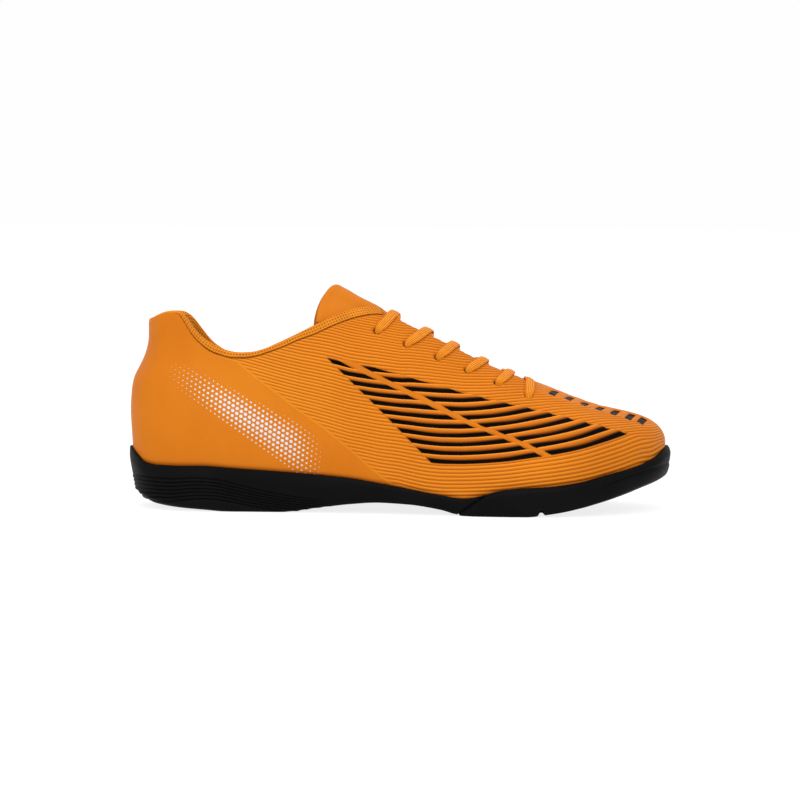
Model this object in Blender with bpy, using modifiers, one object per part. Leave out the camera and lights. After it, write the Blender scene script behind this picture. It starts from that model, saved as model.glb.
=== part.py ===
"""Indoor soccer shoe, right foot: upper, outsole, insole, tongue and laces.

Sizes are in millimetres measured from the back of the heel (x), the middle of
the heel (y, + is the inner side of the foot) and the floor (z). The finished
objects are in metres, +X to the toe, +Z up, with the origin under the middle
of the shoe.
"""

import math

import bmesh
import bpy
import numpy as np

MM = 0.001

# ---------------------------------------------------------------- named sizes
LENGTH = 285.0          # sole, heel to toe
TOE_TIP_Y = 7.0         # the toe tip lies to the inner side
RIM_WALL = 2.2          # thickness of the sole's side wall at its rim
TOE_WALL = 3.2          # and in front of the toes
GAP = 0.35              # clearance between pieces
UPPER_WALL = 2.1        # upper and lining
COLLAR_WALL = 4.6       # padded collar at the heel
TONGUE_WALL = 3.0
TONGUE_DEPTH = 3.5      # tongue face below the upper's outer face
TONGUE_LIFT = 3.2       # the top of the tongue stands up between the eyestays
INSOLE_THICK = 4.5
LACE_WIDTH = 5.0
LACE_THICK = 1.3
CROSS_SHARE = 0.78      # how far toward the next eyelet a crossing runs
EYELET_HOLE = 1.9       # radius
THROAT_END = 213.0
THROAT_ROUND = 206.0
HEEL_AXIS = 42.0        # the heel's ribs fan about this point
TOE_AXIS = 241.0        # and the toe's about this one
RIDGE_SOFT = 0.13       # rounds the crest of the vamp
ORIGIN_X = 142.5
ORIGIN_Y = -2.0

# ------------------------------------------------------------ section tables
# outer edge of the sole seen from above
OUTLINE = [  # x, lateral, medial
    (2.6, -13.0, 13.0),
    (9.5, -24.0, 23.5),
    (24.0, -32.3, 31.5),
    (44.0, -35.2, 34.2),
    (70.0, -35.8, 33.0),
    (100.0, -37.0, 30.0),
    (130.0, -40.0, 29.5),
    (160.0, -45.0, 34.0),
    (185.0, -49.6, 41.0),
    (205.0, -51.2, 46.5),
    (225.0, -49.4, 48.6),
    (243.0, -44.4, 47.0),
    (258.5, -36.2, 42.2),
    (271.5, -25.2, 34.2),
    (280.4, -11.8, 24.2),
]

# heights along the shoe: underside, footbed floor, rim, widest point, crest
HEIGHTS = [  # x, bottom, floor, rim, widest, crest
    (0.0, 7.2, 15.3, 31.4, 46.0, 144.0),
    (4.0, 6.0, 15.2, 28.2, 46.0, 144.0),
    (8.0, 4.9, 15.1, 25.0, 46.0, 144.0),
    (16.0, 3.2, 15.0, 23.7, 45.0, 144.0),
    (26.0, 2.0, 15.0, 23.6, 43.0, 143.6),
    (40.0, 1.0, 15.0, 23.8, 40.0, 142.0),
    (56.0, 0.0, 14.8, 22.8, 37.0, 137.6),
    (82.0, 0.0, 14.2, 21.2, 33.0, 128.2),
    (100.0, 2.3, 13.2, 19.9, 30.0, 120.4),
    (116.0, 4.4, 11.8, 18.4, 28.0, 112.8),
    (131.0, 5.5, 10.0, 16.1, 25.5, 105.6),
    (147.0, 4.9, 8.2, 13.4, 22.5, 97.6),
    (163.0, 2.7, 6.6, 10.6, 20.5, 89.4),
    (175.0, 0.0, 5.8, 9.1, 19.5, 83.0),
    (185.0, 0.0, 5.5, 11.0, 20.0, 77.8),
    (192.0, 0.0, 5.4, 13.2, 20.6, 74.4),
    (207.0, 0.0, 5.8, 15.1, 22.0, 68.2),
    (219.0, 1.3, 6.8, 15.8, 23.6, 64.0),
    (236.0, 4.3, 9.6, 18.1, 27.0, 57.9),
    (248.0, 7.2, 12.6, 21.1, 29.8, 54.4),
    (260.0, 10.7, 16.4, 23.6, 31.6, 52.6),
    (268.0, 13.2, 19.2, 25.5, 32.6, 52.1),
    (276.0, 15.6, 22.2, 28.2, 33.8, 52.0),
    (285.0, 18.2, 25.6, 33.2, 34.8, 52.0),
]

# cross-section of the upper: crest position, roundness and bulge past the rim
SECTIONS = [  # x, crest_y, side_n, top_m, bulge
    (0.0, 0.0, 2.0, 2.6, 1.1),
    (60.0, 0.0, 2.0, 2.6, 0.9),
    (100.0, 0.3, 1.80, 2.7, 0.8),
    (130.0, 1.2, 1.62, 2.7, 0.7),
    (161.0, 2.4, 1.55, 2.0, 0.7),
    (190.0, 3.8, 1.52, 1.60, 0.7),
    (209.0, 5.0, 1.55, 1.45, 0.7),
    (230.0, 6.4, 1.75, 1.60, 0.6),
    (247.0, 7.0, 1.95, 1.90, 0.5),
    (285.0, 7.0, 2.25, 2.25, 0.4),
]

# back of the heel: how far the upper pulls in from its base line
HEEL_BACK = [  # z, inset
    (15.0, 0.9),
    (31.0, 0.0),
    (38.0, -0.5),
    (51.0, -1.2),
    (60.0, -0.8),
    (64.0, -0.3),
    (68.0, 0.7),
    (72.0, 2.6),
    (76.0, 4.6),
    (81.0, 6.5),
    (85.0, 7.5),
    (89.0, 8.0),
    (97.0, 8.0),
    (103.0, 8.8),
    (112.0, 9.5),
]

# top line of the collar; it dips further on the inner side
COLLAR = [  # x, lateral, medial
    (8.0, 97.4, 97.4),
    (12.0, 99.2, 98.8),
    (16.0, 101.4, 100.6),
    (20.0, 103.0, 101.6),
    (25.7, 103.6, 101.5),
    (29.4, 101.7, 100.0),
    (32.0, 98.6, 97.6),
    (37.2, 92.0, 91.0),
    (42.5, 88.0, 85.0),
    (47.7, 85.3, 81.2),
    (53.0, 83.4, 78.9),
    (59.0, 82.5, 78.0),
    (65.0, 82.8, 78.4),
    (71.0, 84.3, 80.0),
    (79.0, 87.7, 83.4),
    (90.0, 92.9, 88.6),
    (100.0, 97.6, 93.8),
    (109.6, 102.0, 98.8),
    (116.0, 104.0, 101.4),
    (122.0, 105.0, 103.2),
    (128.0, 105.4, 104.6),
    (134.0, 107.0, 107.0),
]

# half width of the lacing throat
THROAT = [  # x, half
    (112.0, 9.0),
    (122.0, 11.5),
    (130.0, 11.5),
    (140.0, 10.0),
    (155.0, 9.0),
    (175.0, 8.0),
    (195.0, 7.0),
    (206.0, 6.5),
]

# eyelets, from the collar down: place along the shoe, distance from the crest
EYELETS = [  # x, from_crest
    (128.8, 27.6),
    (144.4, 27.0),
    (160.6, 25.2),
    (176.1, 24.4),
    (191.6, 23.6),
    (207.7, 25.2),
]

# grooves across the tread: middle, swing in degrees, inset from the sole edge
TREAD = [  # x, swing, inset
    (30.0, 10.0, 9.0),
    (41.5, 10.0, 9.0),
    (53.0, 10.0, 9.0),
    (76.5, 10.0, 9.0),
    (88.0, 10.0, 9.0),
    (184.0, -9.0, 9.0),
    (200.5, -9.0, 9.0),
    (226.5, -9.0, 9.0),
    (238.0, -9.0, 9.0),
    (249.5, -9.0, 9.0),
]
TREAD_WIDTH = 2.4
TREAD_DEPTH = 1.5
FLEX_X = 173.6          # the flex slit behind the ball of the foot
NOTCH_X = 215.0         # the small notch in front of it


# ------------------------------------------------------------------- curves
def smooth_curve(table, column):
    """Monotone cubic through one column of a table whose first column is x."""
    xs = np.array([row[0] for row in table], float)
    ys = np.array([row[column] for row in table], float)
    h = np.diff(xs)
    delta = np.diff(ys) / h
    slope = np.zeros(len(xs))
    for i in range(1, len(xs) - 1):
        if delta[i - 1] * delta[i] > 0:
            w1, w2 = 2 * h[i] + h[i - 1], h[i] + 2 * h[i - 1]
            slope[i] = (w1 + w2) / (w1 / delta[i - 1] + w2 / delta[i])
    slope[0], slope[-1] = delta[0], delta[-1]

    def at(x):
        x = np.clip(np.asarray(x, float), xs[0], xs[-1])
        i = np.clip(np.searchsorted(xs, x, side="right") - 1, 0, len(xs) - 2)
        t = (x - xs[i]) / h[i]
        return (
            (2 * t**3 - 3 * t**2 + 1) * ys[i]
            + (t**3 - 2 * t**2 + t) * h[i] * slope[i]
            + (3 * t**2 - 2 * t**3) * ys[i + 1]
            + (t**3 - t**2) * h[i] * slope[i + 1]
        )

    return at


bottom_z, floor_z, rim_z, widest_z, crest_z = (
    smooth_curve(HEIGHTS, c) for c in (1, 2, 3, 4, 5)
)
crest_y, side_n, top_m, bulge = (smooth_curve(SECTIONS, c) for c in (1, 2, 3, 4))
heel_inset = smooth_curve(HEEL_BACK, 1)
collar_lines = {side: smooth_curve(COLLAR, 1 if side < 0 else 2) for side in (-1, 1)}
throat_table = smooth_curve(THROAT, 1)


def throat_half(x):
    x = np.asarray(x, float)
    end = np.clip((x - THROAT_ROUND) / (THROAT_END - THROAT_ROUND), 0, 1)
    return np.where(
        x < THROAT_ROUND,
        throat_table(x),
        np.where(x < THROAT_END, 6.5 * np.sqrt(1 - end**2), -1.0),
    )


def half_outline(side):
    """One side of the sole's edge from heel to toe, as a dense smooth curve with its length."""
    column = 1 if side < 0 else 2
    ring = [(0.0, 0.0)] + [(r[0], r[column]) for r in OUTLINE] + [(LENGTH, TOE_TIP_Y)]
    other = 3 - column
    before = (OUTLINE[0][0], OUTLINE[0][other])
    after = (OUTLINE[-1][0], OUTLINE[-1][other])
    p = np.array([before] + ring + [after], float)
    out = []
    for i in range(1, len(p) - 2):
        p0, p1, p2, p3 = p[i - 1 : i + 3]
        t0 = 0.0
        t1 = t0 + np.linalg.norm(p1 - p0) ** 0.5
        t2 = t1 + np.linalg.norm(p2 - p1) ** 0.5
        t3 = t2 + np.linalg.norm(p3 - p2) ** 0.5
        for t in np.linspace(t1, t2, 24, endpoint=False):
            a1 = (t1 - t) / (t1 - t0) * p0 + (t - t0) / (t1 - t0) * p1
            a2 = (t2 - t) / (t2 - t1) * p1 + (t - t1) / (t2 - t1) * p2
            a3 = (t3 - t) / (t3 - t2) * p2 + (t - t2) / (t3 - t2) * p3
            b1 = (t2 - t) / (t2 - t0) * a1 + (t - t0) / (t2 - t0) * a2
            b2 = (t3 - t) / (t3 - t1) * a2 + (t - t1) / (t3 - t1) * a3
            out.append((t2 - t) / (t2 - t1) * b1 + (t - t1) / (t2 - t1) * b2)
    out.append(p[-2])
    out = np.array(out)
    length = np.concatenate([[0], np.cumsum(np.linalg.norm(np.diff(out, axis=0), axis=1))])
    tangent = np.gradient(out, length, axis=0)
    tangent /= np.linalg.norm(tangent, axis=1)[:, None]
    tangent[0] = tangent[-1] = (0, side)
    tangent[-1] = (0, -side)
    normal = np.stack([-tangent[:, 1], tangent[:, 0]], axis=1) * side
    return out, length / length[-1], normal


HALVES = {side: half_outline(side) for side in (-1, 1)}


def rim_wall(x):
    t = np.clip((np.asarray(x, float) - 252.0) / 31.0, 0, 1)
    return RIM_WALL + (TOE_WALL - RIM_WALL) * t * t * (3 - 2 * t)


def edge_point(u, side):
    """Point and outward direction on the sole's edge at a share u of the way to the toe."""
    pts, share, normal = HALVES[side]
    point = np.stack([np.interp(u, share, pts[:, k]) for k in (0, 1)], axis=-1)
    out = np.stack([np.interp(u, share, normal[:, k]) for k in (0, 1)], axis=-1)
    return point, out / np.linalg.norm(out, axis=-1, keepdims=True)


def ease(t, start_slope, end_slope=0.15):
    return (
        (t**3 - 2 * t**2 + t) * start_slope
        + (3 * t**2 - 2 * t**3)
        + (t**3 - t**2) * end_slope
    )


def axis_point(u):
    """Where the ribs of both sides meet: straight across in the middle, fanned at heel and toe."""
    b = (edge_point(u, -1)[0][..., 0] + edge_point(u, 1)[0][..., 0]) / 2
    low, high = 92.0, 203.0
    back = low - (low - HEEL_AXIS) * ease(
        np.clip((low - b) / low, 0, 1), low / (low - HEEL_AXIS)
    )
    front = high + (TOE_AXIS - high) * ease(
        np.clip((b - high) / (LENGTH - high), 0, 1),
        (LENGTH - high) / (TOE_AXIS - high),
    )
    x = np.where(b < low, back, np.where(b > high, front, b))
    return np.stack([x, crest_y(x)], axis=-1)


def upper_inset(u, side, z):
    """How far the upper's lower wall stands inside its base line at height z."""
    edge, out = edge_point(u, side)
    x = edge[..., 0]
    low, wide, rim, b = floor_z(x) + GAP, widest_z(x), rim_z(x), bulge(x)
    share = np.clip(1 - (rim - low) / (wide - low), 0.35, 1)
    tuck = np.minimum(b / share**2, 2.4)
    tucked = -b + tuck * np.clip(1 - (z - low) / (wide - low), 0, 1) ** 2
    k = heel_share(x)
    return (1 - k) * tucked + k * heel_inset(z)


def heel_share(x):
    return np.clip(1 - x / 78.0, 0, 1) ** 1.3


def rib(u, side, low_points=14, high_points=90):
    """Outer face of the upper along one rib, from the feather edge to the crest."""
    edge, out = edge_point(u, side)
    base = edge - out * (rim_wall(edge[0]) + GAP)
    axis = axis_point(u)
    reach = np.linalg.norm(axis - base)
    toward = (axis - base) / reach
    x = edge[0]
    low, wide, b = floor_z(x) + GAP, float(widest_z(x)), float(bulge(x))
    z1 = np.linspace(low, wide, low_points, endpoint=False)
    d1 = upper_inset(u, side, z1)
    a = np.linspace(0, math.pi / 2, high_points)
    n, m = float(side_n(x)), float(top_m(x))
    scale = math.sqrt(1 + RIDGE_SOFT**2) - RIDGE_SOFT
    ws = np.cos(a).clip(0) ** (2 / n)
    w = np.sqrt((ws * scale + RIDGE_SOFT) ** 2 - RIDGE_SOFT**2)
    rise = np.sin(a) ** (2 / m)
    d2 = -b + (reach + b) * (1 - w)
    z2 = wide + (crest_z(x + toward[0] * d2) - wide) * rise
    k = float(heel_share(x))
    d2 = (1 - k) * d2 + k * heel_inset(z2)
    d, z = np.concatenate([d1, d2]), np.concatenate([z1, z2])
    plan = base + d[:, None] * toward
    return np.column_stack([plan, z])


def trim(points, side):
    """Cuts a rib at the collar or at the throat."""
    x, y, z = points.T
    collar = z - collar_lines[side](x)
    throat = throat_half(x) - np.abs(y - crest_y(x))
    over = np.where(x < 112.0, collar, np.where(x > 134.0, throat, np.maximum(collar, throat)))
    hit = np.nonzero(over >= 0)[0]
    if len(hit) == 0:
        return points, False
    i = int(hit[0])
    t = over[i - 1] / (over[i - 1] - over[i])
    return np.vstack([points[:i], points[i - 1] + t * (points[i] - points[i - 1])]), True


def resample(points, count):
    """The same line with evenly spaced points."""
    step = np.concatenate([[0], np.cumsum(np.linalg.norm(np.diff(points, axis=0), axis=1))])
    want = np.linspace(0, step[-1], count)
    return np.column_stack([np.interp(want, step, points[:, k]) for k in range(3)])


def crest_offset_point(u, side, distance):
    """Point of the closed last at a distance down from the crest, with its outward normal."""

    def at(uu, s):
        line = rib(uu, side)[::-1]
        step = np.concatenate([[0], np.cumsum(np.linalg.norm(np.diff(line, axis=0), axis=1))])
        return np.array([np.interp(s, step, line[:, k]) for k in range(3)])

    point = at(u, distance)
    along = at(min(u + 0.004, 1), distance) - at(u - 0.004, distance)
    down = at(u, distance + 0.8) - at(u, max(distance - 0.8, 0))
    normal = np.cross(along, down) * side
    return point, normal / np.linalg.norm(normal)


SHARE_X = np.linspace(0.02, 0.98, 193)
SHARE_AXIS = np.array([axis_point(u)[0] for u in SHARE_X])


def share_at(x):
    return float(np.interp(x, SHARE_AXIS, SHARE_X))


# ------------------------------------------------------------- Blender pieces
def to_world(points):
    points = np.asarray(points, float)
    return (points - np.array([ORIGIN_X, ORIGIN_Y, 0.0])) * MM


def material(name, colour, roughness, metallic=0.0):
    made = bpy.data.materials.new(name)
    made.use_nodes = True
    shader = made.node_tree.nodes["Principled BSDF"]
    shader.inputs["Base Color"].default_value = (*colour, 1.0)
    shader.inputs["Roughness"].default_value = roughness
    shader.inputs["Metallic"].default_value = metallic
    return made


def grid_object(name, rows, collection, finish, closed_across=False):
    """A lofted sheet: rows of points, joined in order, points that coincide made one."""
    mesh = bmesh.new()
    made = [[mesh.verts.new(p) for p in to_world(row)] for row in rows]
    for a, b in zip(made[:-1], made[1:]):
        for i in range(len(a) - 1):
            mesh.faces.new((a[i], a[i + 1], b[i + 1], b[i]))
        if closed_across:
            mesh.faces.new((a[-1], a[0], b[0], b[-1]))
    if closed_across:
        mesh.faces.new(made[0][::-1])
        mesh.faces.new(made[-1])
    bmesh.ops.remove_doubles(mesh, verts=mesh.verts, dist=2e-6)
    bmesh.ops.dissolve_degenerate(mesh, edges=mesh.edges, dist=2e-6)
    bmesh.ops.triangulate(mesh, faces=mesh.faces)
    bmesh.ops.recalc_face_normals(mesh, faces=mesh.faces)
    data = bpy.data.meshes.new(name)
    mesh.to_mesh(data)
    mesh.free()
    made_object = bpy.data.objects.new(name, data)
    collection.objects.link(made_object)
    data.materials.append(finish)
    data.shade_smooth()
    return made_object


def stations():
    """Ribs from heel to toe, closer together at the heel, the flex slit, the throat end and the toe."""
    u = np.linspace(0, 1, 400)
    x = np.array([axis_point(v)[0] for v in u])
    edge = edge_point(u, -1)[0][:, 0]
    density = (
        1
        + 0.9 * np.exp(-((edge / 22.0) ** 2))
        + 0.7 * np.exp(-(((x - 126) / 9.0) ** 2))
        + 1.2 * np.exp(-(((edge - 178) / 6.0) ** 2))
        + 1.3 * np.exp(-(((x - 210) / 6.0) ** 2))
        + 1.1 * np.exp(-(((edge - LENGTH) / 24.0) ** 2))
    )
    total = np.concatenate([[0], np.cumsum((density[1:] + density[:-1]) / 2)])
    return np.interp(np.linspace(0, total[-1], 47), total, u)


FLOOR_SHARES = (1.0, 0.66, 0.33, 0.0)


def footbed(u, side, share):
    """Height of the moulded footbed at a share of the way in from its edge."""
    edge, out = edge_point(u, side)
    base, axis = edge - out * (rim_wall(edge[0]) + GAP), axis_point(u)
    low = float(floor_z(edge[0]))
    corner = float(upper_inset(u, side, low + GAP)) - GAP
    stops = [corner / np.linalg.norm(axis - base)] + list(FLOOR_SHARES[-2::-1])
    heights = [low] + [float(floor_z(base[0] + (axis[0] - base[0]) * s)) for s in stops[1:]]
    return float(np.interp(share, stops, heights))


def build_upper(collection, finish):
    rows_count = 13
    columns = []
    for side in (-1, 1):
        for u in stations():
            line, _ = trim(rib(u, side), side)
            columns.append((side, u, resample(line, rows_count)))
    lateral = [c[2] for c in columns if c[0] < 0]
    medial = [c[2] for c in columns if c[0] > 0]
    rows = lateral + medial[::-1][1:-1] + lateral[:1]
    sheet = grid_object("upper", rows, collection, finish)
    # the wall grows inwards; the padded collar is thicker
    group = sheet.vertex_groups.new(name="wall")
    top = COLLAR_WALL
    for vertex in sheet.data.vertices:
        x = vertex.co.x / MM + ORIGIN_X
        z = vertex.co.z / MM
        side = -1 if vertex.co.y / MM + ORIGIN_Y < 0 else 1
        drop = max(0.0, float(collar_lines[side](min(x, 122))) - z)
        pad = math.exp(-((drop / 15.0) ** 2)) * min(1.0, max(0.0, (100.0 - x) / 45.0))
        wall = UPPER_WALL + (top - UPPER_WALL) * pad
        group.add([vertex.index], wall / top, "REPLACE")
    solidify = sheet.modifiers.new("wall", "SOLIDIFY")
    solidify.thickness = top * MM
    solidify.offset = -1.0
    solidify.use_even_offset = False
    solidify.vertex_group = "wall"
    solidify.thickness_vertex_group = 0.0
    solidify.use_rim = True
    return sheet


def lean(x):
    """How far the sole's side leans in from rim to underside."""
    return 3.2 + 2.6 * math.exp(-((x / 24.0) ** 2)) + 3.0 * math.exp(-(((x - LENGTH) / 26.0) ** 2))


def panel_bulge(x, side):
    """The forefoot panel stands proud of the rest of the sole's side."""
    start = 1 / (1 + math.exp(-(x - 178.0) * 1.6))
    end = 1 / (1 + math.exp((x - 243.0) * 0.12))
    return 1.3 * start * end * (1.0 if side < 0 else 0.8)


def sole_section(u, side):
    """Half a section of the outsole, from the middle of the footbed round the rim to the middle of the tread."""
    edge, out = edge_point(u, side)
    axis = axis_point(u)
    base = edge - out * (rim_wall(edge[0]) + GAP)
    reach = np.linalg.norm(axis - base)
    toward = (axis - base) / reach
    x = edge[0]
    rim, low = float(rim_z(x)), float(floor_z(x))
    points = []

    def inside(inset, z):
        plan = base + toward * inset
        points.append((plan[0], plan[1], z))

    def outside(inset, z):
        inward = (axis - edge) / np.linalg.norm(axis - edge)
        plan = edge + inward * inset
        points.append((plan[0], plan[1], z))

    for share in FLOOR_SHARES[:-1]:
        plan = base + toward * reach * share
        points.append((plan[0], plan[1], footbed(u, side, share)))
    for share in (0.0, 0.3, 0.65, 1.0):
        z = low + (rim - 0.25 - low) * share
        inset = float(upper_inset(u, side, max(z, low + GAP)))
        inside(inset - GAP, z)
    bulge_out = panel_bulge(x, side)
    bottom = float(bottom_z(x))
    fall = rim - bottom
    slope = lean(x)
    curl = 2.4 - 0.9 * math.exp(-((x / 24.0) ** 2))
    outside(1.3 - bulge_out, rim)
    outside(0.45 - bulge_out, rim - 0.6)
    for share in (0.22, 0.42, 0.62, 0.78):
        outside(slope * share**curl * 0.75 - bulge_out, rim - fall * share)
    outside(slope * 0.60 - bulge_out, rim - fall * 0.90)
    outside(slope * 0.84 - bulge_out * 0.9, rim - fall * 0.965)
    inward = (axis - edge) / np.linalg.norm(axis - edge)
    span = np.linalg.norm(axis - edge)
    for inset in (slope + 1.6, slope + 9.0):
        plan = edge + inward * inset
        points.append((plan[0], plan[1], float(bottom_z(plan[0]))))
    plan = edge + inward * (span * 0.62)
    points.append((plan[0], plan[1], float(bottom_z(plan[0]))))
    points.append((axis[0], axis[1], float(bottom_z(axis[0]))))
    return np.array(points)


def box_cutter(name, centre, size, swing, collection, tilt=0.0):
    """A box for cutting, turned about the vertical and about the shoe's width."""
    bpy.ops.mesh.primitive_cube_add(size=1.0)
    cutter = bpy.context.active_object
    cutter.name = name
    cutter.scale = [s * MM for s in size]
    cutter.rotation_euler = (0.0, math.radians(tilt), math.radians(swing))
    cutter.location = to_world([centre])[0]
    for owner in list(cutter.users_collection):
        owner.objects.unlink(cutter)
    collection.objects.link(cutter)
    cutter.hide_render = True
    cutter.display_type = "WIRE"
    return cutter


def cut(target, cutter, name):
    boolean = target.modifiers.new(name, "BOOLEAN")
    boolean.operation = "DIFFERENCE"
    boolean.solver = "EXACT"
    boolean.object = cutter


def side_y(x, side):
    pts = HALVES[side][0]
    return float(np.interp(x, pts[:, 0], pts[:, 1]))


def build_outsole(collection, cutters, finish):
    halves = [
        [sole_section(u, side) for u in stations()] for side in (-1, 1)
    ]
    sole = grid_object("outsole", halves[0] + halves[1][::-1][1:-1] + halves[0][:1], collection, finish)
    for i, (x, swing, inset) in enumerate(TREAD):
        low, high = side_y(x, -1) + inset, side_y(x, 1) - inset
        depth = float(bottom_z(x)) + TREAD_DEPTH
        cutter = box_cutter(
            f"cut_tread_{i + 1}",
            (x, (low + high) / 2, depth - 5.0),
            (TREAD_WIDTH, high - low, 10.0),
            swing,
            cutters,
        )
        cut(sole, cutter, f"tread_{i + 1}")
    # the flex slit crosses the sole; on both sides it climbs forward to the rim
    cut(sole, box_cutter("cut_flex", (FLEX_X, 0, -3.2), (1.3, 140.0, 10.0), 0, cutters), "flex")
    for side, label in ((-1, "lateral"), (1, "medial")):
        y = side_y(FLEX_X + 3, side) + side * 2.0
        cutter = box_cutter(
            f"cut_flex_{label}", (FLEX_X + 3.4, y, 3.4), (1.1, 9.0, 16.0), 0, cutters, tilt=44
        )
        cut(sole, cutter, f"flex_{label}")
    cut(sole, box_cutter("cut_notch", (NOTCH_X, 0, -3.4), (2.6, 140.0, 10.0), 0, cutters), "notch")
    return sole


def insole_section(u, side):
    """Half a section of the insole, which lies on the footbed and cups the heel."""
    edge, out = edge_point(u, side)
    axis = axis_point(u)
    base = edge - out * (rim_wall(edge[0]) + GAP)
    reach = np.linalg.norm(axis - base)
    toward = (axis - base) / reach
    low = float(floor_z(edge[0])) + GAP
    foot = float(upper_inset(u, side, low)) + UPPER_WALL + 1.0
    head = float(upper_inset(u, side, low + INSOLE_THICK)) + UPPER_WALL + 1.0
    cup = 2.2 * math.exp(-(((edge[0] - 40) / 60.0) ** 2)) + 0.3
    points = []

    def put(share, lift):
        plan = base + toward * reach * share
        points.append((plan[0], plan[1], footbed(u, side, share) + GAP + lift))

    put(1.0, INSOLE_THICK)
    put(0.66, INSOLE_THICK)
    put(0.33, INSOLE_THICK + cup * 0.25)
    put((head + 1.2) / reach, INSOLE_THICK + cup)
    put(head / reach, INSOLE_THICK + cup - 0.9)
    put(foot / reach, 0.6)
    put((foot + 0.8) / reach, 0.0)
    put(0.33, 0.0)
    put(0.66, 0.0)
    put(1.0, 0.0)
    return np.array(points)


def build_insole(collection, finish):
    halves = [[insole_section(u, side) for u in stations()] for side in (-1, 1)]
    rows = halves[0] + halves[1][::-1][1:-1] + halves[0][:1]
    return grid_object("insole", rows, collection, finish)


def build_tongue(collection, finish):
    """A curved sheet under the lacing that rises past the collar."""
    across = np.linspace(-1, 1, 13)
    along = np.linspace(0, 1, 17)
    rows = []
    for t in along:
        row = []
        for w in across:
            side = -1 if w < 0 else 1
            top_x = 107.6 - 9.6 * (1 - (1 - (math.hypot(w, 0.08) - 0.08) / 0.924) ** 1.5)
            x = 221.0 + (top_x - 221.0) * t
            reach = 17.0 + 19.0 * min(1.0, t * 1.4)
            distance = abs(w) * reach
            point, normal = crest_offset_point(share_at(x), side, distance)
            if abs(w) < 1e-6:
                other, n2 = crest_offset_point(share_at(x), 1, 0.0)
                normal = np.array([normal[0], 0.0, normal[2]])
                normal /= np.linalg.norm(normal)
            lift = TONGUE_LIFT * float(np.clip((152.0 - x) / 22.0, 0, 1)) ** 1.3
            lift += 1.0 * float(np.clip((122.0 - x) / 14.0, 0, 1)) ** 1.5
            lift *= max(0.0, 1 - (distance / 12.5) ** 2)
            row.append(point - normal * (TONGUE_DEPTH - lift))
        rows.append(row)
    sheet = grid_object("tongue", rows, collection, finish)
    # its face looks out of the shoe
    up = sum(p.normal.z * p.area for p in sheet.data.polygons)
    if up < 0:
        sheet.data.flip_normals()
    solidify = sheet.modifiers.new("pad", "SOLIDIFY")
    solidify.thickness = TONGUE_WALL * MM
    solidify.offset = -1.0
    solidify.use_rim = True
    return sheet


def lace_strip(path, name, collection, finish):
    """A flat lace along a path of (point, surface normal)."""
    centres = np.array([p for p, _ in path])
    normals = np.array([n for _, n in path])
    along = np.gradient(centres, axis=0)
    rows = []
    for c, n, t in zip(centres, normals, along):
        t = t / np.linalg.norm(t)
        n = n - t * (n @ t)
        n /= np.linalg.norm(n)
        side = np.cross(t, n)
        half, thick = LACE_WIDTH / 2, LACE_THICK
        ring = [
            (-half, 0.28), (-half * 0.82, 0.0), (half * 0.82, 0.0), (half, 0.28),
            (half, thick - 0.28), (half * 0.82, thick), (-half * 0.82, thick), (-half, thick - 0.28),
        ]
        rows.append([c + side * a + n * b for a, b in ring])
    strip = grid_object(name, rows, collection, finish, closed_across=True)
    return strip


def lace_path(start, end, side, lift=0.6):
    """From above an eyelet on one side, over the crest, toward the other side."""
    path = []
    for t in np.linspace(0, 1, 13):
        (x0, s0), (x1, s1) = start, end
        signed = s0 + (s1 - s0) * t
        x = x0 + (x1 - x0) * t
        this = side if signed > 0 else -side
        point, normal = crest_offset_point(share_at(x), this, abs(signed))
        path.append((point + normal * lift, normal))
    return path


def build_laces(collection, finish):
    """Five crossings and the straight bar at the toe end of the throat."""
    made = []
    for i in range(5):
        (x0, s0), (x1, _) = EYELETS[i], EYELETS[i + 1]
        end_x = x0 + (x1 - x0) * CROSS_SHARE
        end = (end_x, -(float(throat_half(end_x)) - LACE_WIDTH / 2 - 0.8))
        strips = []
        for side, label in ((-1, "cross"), (1, "far")):
            path = lace_path((x0 + 0.6, s0 - 1.0), end, side)
            strips.append(lace_strip(path, f"lace_{label}_{i + 1}", collection, finish))
        join = strips[0].modifiers.new("join", "BOOLEAN")
        join.operation = "UNION"
        join.solver = "EXACT"
        join.object = strips[1]
        strips[1].hide_render = True
        strips[1].display_type = "WIRE"
        made.append(strips[0])
    x, s = EYELETS[5]
    path = lace_path((x + 1.2, s - 1.0), (x + 1.2, -(s - 1.0)), -1)
    made.append(lace_strip(path, "lace_bar", collection, finish))
    return made


def punch_eyelets(upper, cutters):
    """Punched holes through the eyestay, square to its surface."""
    for side, label in ((-1, "lateral"), (1, "medial")):
        for i, (x, s) in enumerate(EYELETS):
            point, normal = crest_offset_point(share_at(x), side, s)
            bpy.ops.mesh.primitive_cylinder_add(
                vertices=10, radius=EYELET_HOLE * MM, depth=12 * MM
            )
            punch = bpy.context.active_object
            punch.name = f"cut_eyelet_{label}_{i + 1}"
            punch.location = to_world([point])[0]
            from_z = np.array([0.0, 0.0, 1.0])
            axis = np.cross(from_z, normal)
            angle = math.atan2(np.linalg.norm(axis), float(from_z @ normal))
            axis = axis / np.linalg.norm(axis)
            punch.rotation_mode = "AXIS_ANGLE"
            punch.rotation_axis_angle = (angle, *axis)
            for owner in list(punch.users_collection):
                owner.objects.unlink(punch)
            cutters.objects.link(punch)
            punch.hide_render = True
            punch.display_type = "WIRE"
            cut(upper, punch, f"eyelet_{label}_{i + 1}")


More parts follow.
